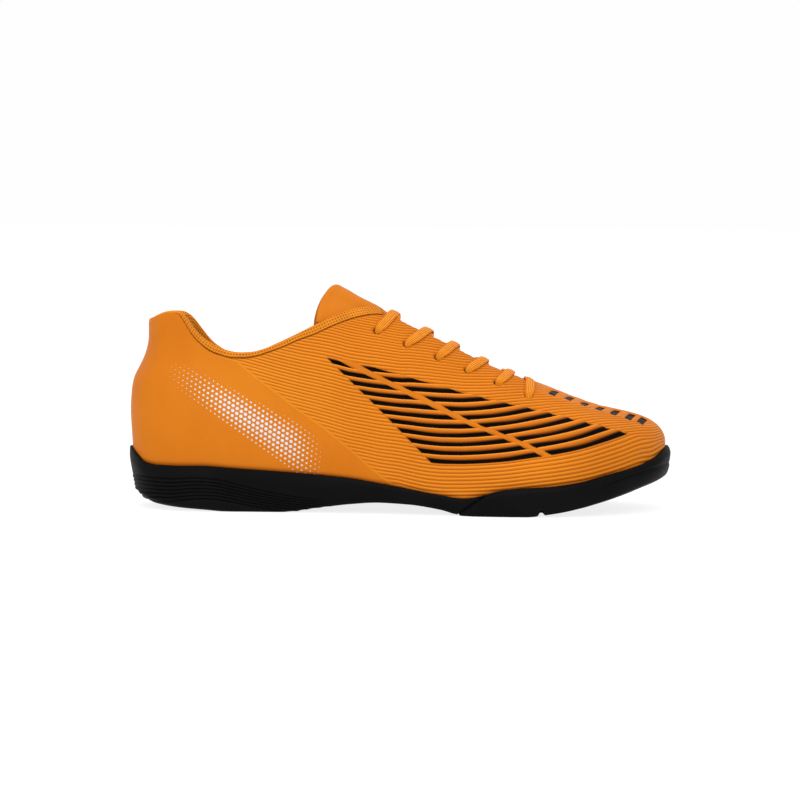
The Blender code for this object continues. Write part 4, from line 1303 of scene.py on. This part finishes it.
# ------------------------------------------------------------------- the tongue
def build_tongue():
    """Padded tongue: a soft lens-edged sheet under the laces, its tip standing above the collar."""
    ws = np.sin(np.linspace(-1, 1, 45) * math.pi / 2)
    ts = 0.5 - 0.5 * np.cos(np.linspace(0.0, 1, 74) * math.pi)
    mid = np.zeros((len(ts), len(ws), 3))
    for i, t in enumerate(ts):
        for j, w in enumerate(ws):
            side = -1 if w < 0 else 1
            top_x = 107.6 - 9.6 * (1 - (1 - (math.hypot(w, 0.08) - 0.08) / 0.924) ** 1.5)
            x = 221.0 + (top_x - 221.0) * t
            reach = 17.0 + 19.0 * min(1.0, t * 1.4)
            distance = abs(w) * reach
            point, normal = on_last(x, side * distance)
            lift = TONGUE_LIFT * float(np.clip((152.0 - x) / 22.0, 0, 1)) ** 1.3
            lift += 1.0 * float(np.clip((122.0 - x) / 14.0, 0, 1)) ** 1.5
            lift *= max(0.0, 1 - (distance / (12.5 - 4.5 * float(step(x, 116.0, 127.0)))) ** 2)
            mid[i, j] = point - normal * (TONGUE_DEPTH - lift + TONGUE_WALL / 2)
    normal = unit(np.cross(np.gradient(mid, axis=0), np.gradient(mid, axis=1)))
    if normal[..., 2].mean() < 0:
        normal = -normal
    gap_w = (1 - np.abs(ws))[None, :] * (17.0 + 19.0 * np.minimum(1.0, ts * 1.4))[:, None]
    gap_t = np.minimum(1 - ts, ts)[:, None] * 110.0
    gap = np.minimum(gap_w, gap_t)
    half = (TONGUE_WALL / 2) * np.sqrt(np.clip(1 - (1 - np.clip(gap / 2.2, 0, 1)) ** 2, 0, 1))
    # the padding swells a little between seam and edge
    swell = 0.25 * np.exp(-(((gap - 7.0) / 4.0) ** 2))
    top = mid + normal * (half + swell * (half > 0.5))[..., None]
    low = mid - normal * half[..., None]
    rows, cols = mid.shape[:2]
    points = np.concatenate([top.reshape(-1, 3), low.reshape(-1, 3)])
    rim = (half < 1e-6)
    faces = []
    size = rows * cols

    def vid(i, j, layer):
        k = i * cols + j
        return k if layer == 0 or rim[i, j] else size + k

    for layer in (0, 1):
        for i in range(rows - 1):
            for j in range(cols - 1):
                face = tidy((vid(i, j, layer), vid(i, j + 1, layer), vid(i + 1, j + 1, layer), vid(i + 1, j, layer)))
                if face:
                    faces.append(face if layer == 0 else face[::-1])
    used = sorted({v for f in faces for v in f})
    where = {v: k for k, v in enumerate(used)}
    faces = [[where[v] for v in f] for f in faces]
    points = points[used]
    # distance from the seam line, for the faint painted shade along it
    edge = np.concatenate([np.abs(gap - 2.9).ravel(), np.abs(gap - 2.9).ravel()])[used]
    return make_object("tongue_pad", points, faces, [TONGUE_SKIN], {"edge": edge})


TONGUE = build_tongue()


# -------------------------------------------------------------------- the laces
def lace_mesh(name, centres, normals, widths, thick):
    """Flat woven lace along a line, with soft edges and lengthwise cords."""
    centres, normals = np.array(centres), np.array(normals)
    along = np.gradient(centres, axis=0)
    tangent = unit(along)
    normals = unit(normals - tangent * np.sum(normals * tangent, axis=1)[:, None])
    side = np.cross(tangent, normals)
    run = np.concatenate([[0], np.cumsum(np.linalg.norm(np.diff(centres, axis=0), axis=1))])
    around = 40
    angles = np.linspace(0, 2 * math.pi, around, endpoint=False)
    ca, sa = np.cos(angles), np.sin(angles)
    flat = np.sign(ca) * np.abs(ca) ** 0.55
    rise = np.sign(sa) * np.abs(sa) ** 0.62
    rows, lay_u, lay_v = [], [], []
    for i in range(len(centres)):
        half = widths[i] / 2
        cords = 0.13 * np.cos(flat * 2.5 * math.pi * 2 / 1.0) * np.clip(np.abs(rise) * 1.3 - 0.3, 0, 1)
        b = rise * (thick[i] / 2) + np.sign(rise) * cords + thick[i] / 2
        a = flat * half
        rows.append(centres[i] + side[i] * a[:, None] + normals[i] * b[:, None])
        lay_u.append(np.full(around, run[i]))
        lay_v.append(flat * 2.5)
    points = np.concatenate(rows)
    n = len(rows)
    faces = []
    for i in range(n - 1):
        for j in range(around):
            k = (j + 1) % around
            faces.append((i * around + j, i * around + k, (i + 1) * around + k, (i + 1) * around + j))
    faces.append(tuple(range(around))[::-1])
    faces.append(tuple(range((n - 1) * around, n * around)))
    return make_object(name, points, faces, [LACE], {"along": np.concatenate(lay_u), "across": np.concatenate(lay_v)})


def lace_line(x0, s0, x1, s1, dip, hidden_end=True, samples=60, bow=0.0):
    """From inside the eyelet at (x0, s0) over the throat to (x1, s1), where it dives under the other side."""
    gap = abs(float(throat_half((x0 + x1) / 2))) + 2.0
    centres, normals, widths, thick = [], [], [], []
    for t in np.linspace(-0.085, 1.0, samples):
        tt = max(t, 0.0)
        # a lace leans forward up the side and then crosses the throat almost straight
        share = t if bow else (t if t < 0 else 1 - (1 - min(t, 0.9) / 0.9) ** 1.9)
        x = x0 + (x1 - x0) * share + bow * math.sin(math.pi * tt)
        s = s0 + (s1 - s0) * t
        p, n = on_last(x, s)
        if abs(s) < 4.0:
            pa, na = on_last(x, -4.0)
            pb, nb = on_last(x, 4.0)
            w = (s + 4.0) / 8.0
            n = unit(na * (1 - w) + nb * w)
        # out of the eyelet, over the eyestay's edge, free across the tongue, down at the far side
        lift = 0.30 + 0.12 * math.sin(math.pi * tt)
        lift -= dip * max(0.0, 1 - (s / gap) ** 2)
        lift -= 3.1 * (1 - float(step(t, -0.085, 0.045)))
        if hidden_end:
            lift -= 3.3 * float(step(t, 0.86, 1.0))
        else:
            lift -= 3.1 * float(step(t, 0.955, 1.085))
        narrow = 1 - 0.34 * (1 - float(step(t, -0.07, 0.11)))
        if not hidden_end:
            narrow -= 0.34 * float(step(t, 0.89, 1.07))
        centres.append(p + n * lift)
        normals.append(n)
        widths.append(LACE_WIDTH * 0.99 * narrow)
        thick.append(LACE_THICK * (1.12 - 0.12 * narrow))
    return centres, normals, widths, thick


LACES = []
for i in range(5):
    (x0, s0), (x1, _) = EYELETS[i], EYELETS[i + 1]
    end_x = x0 + LACE_LEAN[i]
    end_s = float(throat_half(end_x)) + 1.2
    for side, label, dip in ((-1, "outer", 0.35), (1, "inner", 2.15)):
        line = lace_line(x0 + 1.1, side * (s0 - 1.7), end_x, -side * end_s, dip)
        made = lace_mesh(f"lace_{i + 1}_{label}", *line)
        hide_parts(f"lace_cross_{i + 1}")
        LACES.append(made)
x5, s5 = EYELETS[5]
line = lace_line(x5 + 0.2, -(s5 - 1.0), x5 + 0.8, (s5 - 1.0), 0.75, hidden_end=False, samples=70, bow=1.7)
extra = [on_last(x5 + 1.2, s5 - 0.3 + d) for d in (1.0, 2.2)]
bar = lace_mesh("lace_bar_strip", *line)
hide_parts("lace_bar")
LACES.append(bar)


# ------------------------------------------------------------------ the outsole
def lean(x):
    return 3.2 + 2.6 * math.exp(-((x / 24.0) ** 2)) + 0.7 * math.exp(-(((x - LENGTH) / 26.0) ** 2))


def panel_bulge(x, side):
    start = 1 / (1 + math.exp(-(x - 178.0) * 1.6))
    end = 1 / (1 + math.exp((x - 243.0) * 0.12))
    return 1.3 * start * end * (1.0 if side < 0 else 0.8)


def spline(nodes, count):
    """Smooth line through nodes, evenly dense."""
    nodes = np.array(nodes, float)
    padded_nodes = np.vstack([2 * nodes[0] - nodes[1], nodes, 2 * nodes[-1] - nodes[-2]])
    out = []
    spans = len(nodes) - 1
    for f in np.linspace(0, spans, count):
        i = min(int(f), spans - 1)
        t = f - i
        p0, p1, p2, p3 = padded_nodes[i : i + 4]
        out.append(
            0.5 * (2 * p1 + (p2 - p0) * t + (2 * p0 - 5 * p1 + 4 * p2 - p3) * t**2 + (3 * p1 - p0 - 3 * p2 + p3) * t**3)
        )
    return np.array(out)


def build_outsole():
    us = ring_stations(lambda x: np.where(x < 20, 1.5, np.where(x > 255, 1.3, 1.25)))
    n = len(us)
    order = [(-1, i) for i in range(n)] + [(1, i) for i in range(n - 2, 0, -1)]
    inner_rows, wall_rows, under_rows = 14, 66, 26
    columns, groove_all, tread_all = [], [], []
    for side, i in order:
        u = us[i]
        edge, out = edge_point(u, side)
        axis = axis_point(u)
        base = edge - out * (rim_wall(edge[0]) + GAP)
        reach = np.linalg.norm(axis - base)
        toward = (axis - base) / reach
        x = float(edge[0])
        rim, low = float(rim_z(x)), float(floor_z(x))
        inside = []
        for share in (1.0, 0.66, 0.33):
            plan = base + toward * reach * share
            inside.append((*plan, footbed(u, side, share)))
        for share in np.linspace(0, 1, 10):
            z = low + (rim - 0.25 - low) * share
            inset = float(upper_inset(u, side, max(z, low + GAP)))
            inside.append((*(base + toward * (inset - GAP)), z))
        bulge_out = panel_bulge(x, side)
        bottom = float(bottom_z(x))
        fall = rim - bottom
        slope = lean(x)
        curl = 2.4 - 0.9 * math.exp(-((x / 24.0) ** 2))
        inward = (axis - edge) / np.linalg.norm(axis - edge)
        span = np.linalg.norm(axis - edge)

        def outer(inset, z):
            return (*(edge + inward * inset), z)

        nose = float(step(x, 268.0, 282.0))
        nodes = [outer(0.45 - bulge_out, rim - 0.6 - 1.5 * nose)]
        for share in (0.22, 0.42, 0.62, 0.78):
            nodes.append(outer(slope * share**curl * 0.75 - bulge_out, rim - fall * share))
        nodes.append(outer(slope * 0.60 - bulge_out, rim - fall * 0.90))
        nodes.append(outer(slope * 0.84 - bulge_out * 0.9, rim - fall * 0.965))
        plan = edge + inward * (slope + 1.6)
        bevel = 0.95 * float(step(x, 176.0, 188.0) * step(x, 240.0, 222.0))
        nodes.append((*plan, float(bottom_z(plan[0])) + bevel))
        wall = spline(nodes, 200)
        run = np.concatenate([[0], np.cumsum(np.linalg.norm(np.diff(wall, axis=0), axis=1))])
        want = np.linspace(0, run[-1], wall_rows)
        wall = np.column_stack([np.interp(want, run, wall[:, k]) for k in range(3)])
        rim_top = np.array(
            [
                outer(rim_wall(x) * 0.82 - bulge_out * 0.8, rim - 0.02),
                outer(rim_wall(x) * 0.5 - bulge_out, rim + 0.06),
                outer(0.72 - bulge_out + 0.5 * nose, rim - 0.08 - 0.35 * nose),
                outer(0.50 - bulge_out + 0.1 * nose, rim - 0.30 - 1.1 * nose),
            ]
        )
        under = []
        for share in np.linspace(0, 1, under_rows + 1)[1:]:
            inset = (slope + 1.6) + (span - slope - 1.6) * share
            plan = edge + inward * inset
            under.append((*plan, float(bottom_z(plan[0])) + bevel * max(0.0, 1 - (inset - slope - 1.6) / 8.0) ** 2))
        column = np.vstack([inside, rim_top, wall, under])
        columns.append(column)
    grid = np.array(columns)
    ring, total = grid.shape[:2]
    wall_from = 13 + 4
    # outward direction of the side wall
    around = np.roll(grid, -1, axis=0) - np.roll(grid, 1, axis=0)
    down = np.gradient(grid, axis=1)
    normal = unit(np.cross(down, around))
    check = normal[:, wall_from + 20, :2] * (grid[:, wall_from + 20, :2] - grid[:, wall_from + 20, :2].mean(axis=0))
    if check.sum() < 0:
        normal = -normal
    x, y, z = grid[..., 0], grid[..., 1], grid[..., 2]
    v = view_height(grid)
    row = np.arange(total)[None, :] + np.zeros((ring, 1))
    on_wall = (row >= wall_from) & (row < wall_from + wall_rows)
    on_under = row >= wall_from + wall_rows - 1
    height = np.zeros(x.shape)
    # painted shade in the cuts and grooves, handed on to the rubber's colour
    groove_shade = np.zeros(x.shape)
    # waves round the heel
    spacing = 2.05 - 0.0095 * np.clip(x - 10, 0, 95)
    ripple = 0.35 * np.sin(x / 9.5 + 0.8) * step(x, 8.0, 24.0) * step(x, 70.0, 50.0)
    lane = (wave_line(x) + ripple - v) / spacing
    nearest = np.clip(np.round(lane), 0, WAVE_COUNT - 1)
    off = (lane - nearest) * spacing
    cut = np.exp(-((off / 0.42) ** 2)) * step(x, 112.0, 96.0) * on_wall
    ridge = np.exp(-(((lane - nearest + 0.0) * spacing - 1.0) / 0.6) ** 2)
    height -= 0.50 * cut * (0.25 + 0.75 * step(x, 5.0, 20.0))
    groove_shade = np.maximum(groove_shade, cut)
    belly = step(lane, -0.3, 0.3) * step(x, 118.0, 92.0) * on_wall
    height += 0.35 * belly * (1 - cut)
    # the forefoot panel stands proud under a step at the rim; its rear edge is a slit
    slit_x = FLEX = 173.6 + (v + 1.5) * 1.32
    slit = np.exp(-(((x - slit_x) / 0.95) ** 2)) * on_wall
    height -= 1.35 * slit
    groove_shade = np.maximum(groove_shade, slit)
    in_front = step(x - slit_x, 0.6, 2.2) * step(x, 246.0, 226.0)
    rim_gap = rim_z(x) - z
    shelf = step(rim_gap, 1.0, 2.4)
    height += 0.55 * in_front * shelf * on_wall
    # a soft crease under the rim round the toe
    crease = line_height(TOE_CREASE, x) - v
    toe_on = step(x, 238.0, 252.0)
    height -= 0.55 * np.exp(-((crease / 0.55) ** 2)) * toe_on * on_wall * (1 - 0.75 * step(x, 268.0, 281.0))
    height += 0.45 * step(crease, 0.2, 2.2) * step(crease, 9.0, 4.0) * toe_on * on_wall
    groove_shade = np.maximum(groove_shade, 0.6 * np.exp(-((crease / 0.5) ** 2)) * toe_on * on_wall)
    # a shallow line along the waist
    waist = (rim_gap - 4.2) / 0.5
    height -= 0.22 * np.exp(-(waist**2)) * step(x, 112.0, 122.0) * step(x, 168.0, 158.0) * on_wall
    # notch in the tread's edge
    notch = np.exp(-((np.abs(x - 215.0) / 1.3) ** 4)) * step(z, 4.6, 2.8)
    height -= 1.9 * notch * (on_wall | on_under)
    groove_shade = np.maximum(groove_shade, notch)
    # tread
    tread = on_under * 1.0
    blocks = np.zeros(x.shape)
    for tx, swing, inset in TREAD:
        a = math.radians(swing)
        off_x = (x - tx) * math.cos(a) + (y - ORIGIN_Y) * math.sin(a)
        blocks = np.maximum(blocks, np.exp(-((np.abs(off_x) / 1.3) ** 4)))
    edge_in = np.clip((row - wall_from - wall_rows) / 6.0, 0, 1)
    blocks = blocks * edge_in * on_under
    flex = np.exp(-((np.abs(x - 173.6) / 0.9) ** 4)) * on_under
    zig = np.abs(((y / 7.0) % 2.0) - 1.0) * 3.0
    fine = np.exp(-((((x + zig) % 4.0) - 2.0) / 0.75) ** 2) * edge_in * on_under
    for tip_x in (HEEL_AXIS, TOE_AXIS):
        away = np.hypot(grid[..., 0] - tip_x, grid[..., 1] - crest_y(np.full(1, tip_x))[0])
        fine = fine * step(away, 7.0, 22.0)
    flat_zone = (step(x, 20.0, 26.0) * step(x, 98.0, 90.0) + step(x, 178.0, 184.0) * step(x, 268.0, 258.0))
    height -= 1.4 * np.maximum(blocks, flex) + 0.55 * fine * flat_zone * (1 - blocks)
    groove_shade = np.maximum(groove_shade, np.maximum(blocks, flex))
    points = grid + normal * height[..., None]
    points[..., 2] = np.where(on_under, grid[..., 2] - np.minimum(height, 0), points[..., 2])
    points[..., 0] = np.where(on_under, grid[..., 0], points[..., 0])
    points[..., 1] = np.where(on_under, grid[..., 1], points[..., 1])
    points[..., 2] = np.maximum(points[..., 2], 0.0)
    # weld: the two halves share the axis points
    index = np.arange(ring * total).reshape(ring, total)
    count = n
    for c in range(ring):
        side, i = order[c]
        if side > 0:
            index[c, 0] = index[i, 0]
            index[c, -1] = index[i, -1]
            points[c, 0] = points[i, 0]
            points[c, -1] = points[i, -1]
    faces = []
    for c in range(ring):
        d = (c + 1) % ring
        for j in range(total - 1):
            face = tidy((int(index[c, j]), int(index[c, j + 1]), int(index[d, j + 1]), int(index[d, j])))
            if face:
                faces.append(face)
    flat_points = points.reshape(-1, 3)
    used = sorted({w for f in faces for w in f})
    where = {w: k for k, w in enumerate(used)}
    faces = [[where[w] for w in f] for f in faces]
    # painted shade: the rubber darker toward the toe end
    groove_shade = np.maximum(groove_shade, 0.5 * step(points[..., 0], 252.0, 276.0))
    attributes = {
        "groove_shade": groove_shade.ravel()[used],
        "tread": tread.ravel()[used],
    }
    return make_object("outsole_cup", flat_points[used], faces, [RUBBER], attributes)


OUTSOLE = build_outsole()


# ------------------------------------------------------------------- the insole
def build_insole():
    us = ring_stations(lambda x: np.full(np.shape(x), 2.6))
    n = len(us)
    order = [(-1, i) for i in range(n)] + [(1, i) for i in range(n - 2, 0, -1)]
    rows = []
    for side, i in order:
        u = us[i]
        edge, out = edge_point(u, side)
        axis = axis_point(u)
        base = edge - out * (rim_wall(edge[0]) + GAP)
        reach = np.linalg.norm(axis - base)
        toward = (axis - base) / reach
        low = float(floor_z(edge[0])) + GAP
        foot = float(upper_inset(u, side, low)) + UPPER_WALL + 1.0
        head = float(upper_inset(u, side, low + INSOLE_THICK)) + UPPER_WALL + 1.0
        cup = 2.2 * math.exp(-(((edge[0] - 40) / 60.0) ** 2)) + 0.3

        def put(share, lift):
            plan = base + toward * reach * share
            return (*plan, footbed(u, side, share) + GAP + lift)

        top = spline(
            [
                put(1.0, INSOLE_THICK),
                put(0.66, INSOLE_THICK),
                put(0.33, INSOLE_THICK + cup * 0.25),
                put((head + 1.2) / reach, INSOLE_THICK + cup),
            ],
            26,
        )
        rest = np.array(
            [
                put(head / reach, INSOLE_THICK + cup - 0.9),
                put(foot / reach, 0.6),
                put((foot + 0.8) / reach, 0.0),
                put(0.33, 0.0),
                put(0.66, 0.0),
                put(1.0, 0.0),
            ]
        )
        rows.append(np.vstack([top, rest]))
    grid = np.array(rows)
    ring, total = grid.shape[:2]
    index = np.arange(ring * total).reshape(ring, total)
    for c in range(ring):
        side, i = order[c]
        if side > 0:
            index[c, 0], index[c, -1] = index[i, 0], index[i, -1]
    faces = []
    for c in range(ring):
        d = (c + 1) % ring
        for j in range(total - 1):
            face = tidy((int(index[c, j]), int(index[c, j + 1]), int(index[d, j + 1]), int(index[d, j])))
            if face:
                faces.append(face)
    points = grid.reshape(-1, 3)
    used = sorted({w for f in faces for w in f})
    where = {w: k for k, w in enumerate(used)}
    faces = [[where[w] for w in f] for f in faces]
    points = points[used]
    return make_object("insole_bed", points, faces, [FOOTBED], {"along": points[:, 0], "across": points[:, 1]})


INSOLE = build_insole()

# ---------------------------------------------------------------- riding bodies
BODY = "root"
for made, nodes, slot in (
    (UPPER, ["upper"], "orange_synthetic"),
    (LINING, ["upper"], "orange_lining"),
    (TONGUE, ["tongue"], "orange_lining"),
    (OUTSOLE, ["outsole"], "black_rubber"),
    (INSOLE, ["insole"], "footbed"),
):
    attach(made, BODY)
    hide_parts(*nodes)
for made in LACES:
    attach(made, BODY)
for node, finish in (
    ("upper", SKIN), ("tongue", TONGUE_SKIN), ("outsole", RUBBER), ("insole", FOOTBED), ("lace_bar", LACE),
    *((f"lace_cross_{i}", LACE) for i in range(1, 6)),
):
    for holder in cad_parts[node].material_slots:
        holder.material = finish


# ------------------------------------------------------------ floor, light, view
def studio():
    scene = bpy.context.scene
    scene.view_settings.view_transform = "Standard"
    scene.view_settings.look = "None"
    data = bpy.data.meshes.new("floor")
    n, half = 24, 6.0
    line = np.linspace(-half, half, n)
    points = [(a, b, 0.0) for a in line for b in line]
    faces = [(i * n + j, (i + 1) * n + j, (i + 1) * n + j + 1, i * n + j + 1) for i in range(n - 1) for j in range(n - 1)]
    data.from_pydata(points, [], faces)
    floor = bpy.data.objects.new("floor", data)
    scene.collection.objects.link(floor)
    g = Nodes("pale_floor")
    tone = g.noise(400.0, 2.0)
    g.shader.inputs["Emission Color"].default_value = (1.0, 1.0, 1.0, 1.0)
    data.materials.append(g.finish(g.mix(tone, (0.22, 0.22, 0.22), (0.24, 0.24, 0.24)), 0.8, Specular_IOR_Level=0.05, Emission_Strength=0.82))
    world = bpy.data.worlds.new("studio")
    scene.world = world
    world.use_nodes = True
    back = world.node_tree.nodes["Background"]
    back.inputs["Color"].default_value = (1.0, 1.0, 1.0, 1.0)
    back.inputs["Strength"].default_value = 0.99

    def area(name, where, aim, size, power, colour=(1, 1, 1)):
        lamp = bpy.data.lights.new(name, "AREA")
        lamp.shape = "RECTANGLE"
        lamp.size, lamp.size_y = size
        lamp.energy = power
        lamp.color = colour
        holder = bpy.data.objects.new(name, lamp)
        scene.collection.objects.link(holder)
        holder.location = where
        direction = Vector(aim) - Vector(where)
        holder.rotation_euler = direction.to_track_quat("-Z", "Y").to_euler()
        return holder

    area("overhead", (0.05, -0.25, 1.5), (0, 0, 0.03), (1.6, 1.2), 9.0)
    area("key", (-0.28, -1.72, 0.95), (0, 0, 0.05), (0.8, 0.8), 9.0)
    area("back_left", (-0.9, 0.9, 0.8), (0, 0, 0.06), (0.9, 0.9), 0.5)
    area("back_right", (0.9, 0.9, 0.8), (0, 0, 0.06), (0.9, 0.9), 0.5)

    camera = bpy.data.cameras.new("camera")
    holder = bpy.data.objects.new("camera", camera)
    scene.collection.objects.link(holder)
    camera.lens = 170.0
    camera.sensor_width = 36.0
    camera.clip_start, camera.clip_end = 0.05, 50.0
    elevation, roll = math.atan(TILT), 0.008
    wide = 0.41952
    distance = wide * camera.lens / camera.sensor_width
    target = Vector((-0.0004, 0.0, 0.0565))
    back_to = Vector((0, -math.cos(elevation), math.sin(elevation)))
    holder.location = target + back_to * distance
    aim = (target - holder.location).to_track_quat("-Z", "Y")
    holder.rotation_euler = (aim.to_matrix() @ Matrix.Rotation(roll, 3, "Z")).to_euler()
    scene.camera = holder


studio()
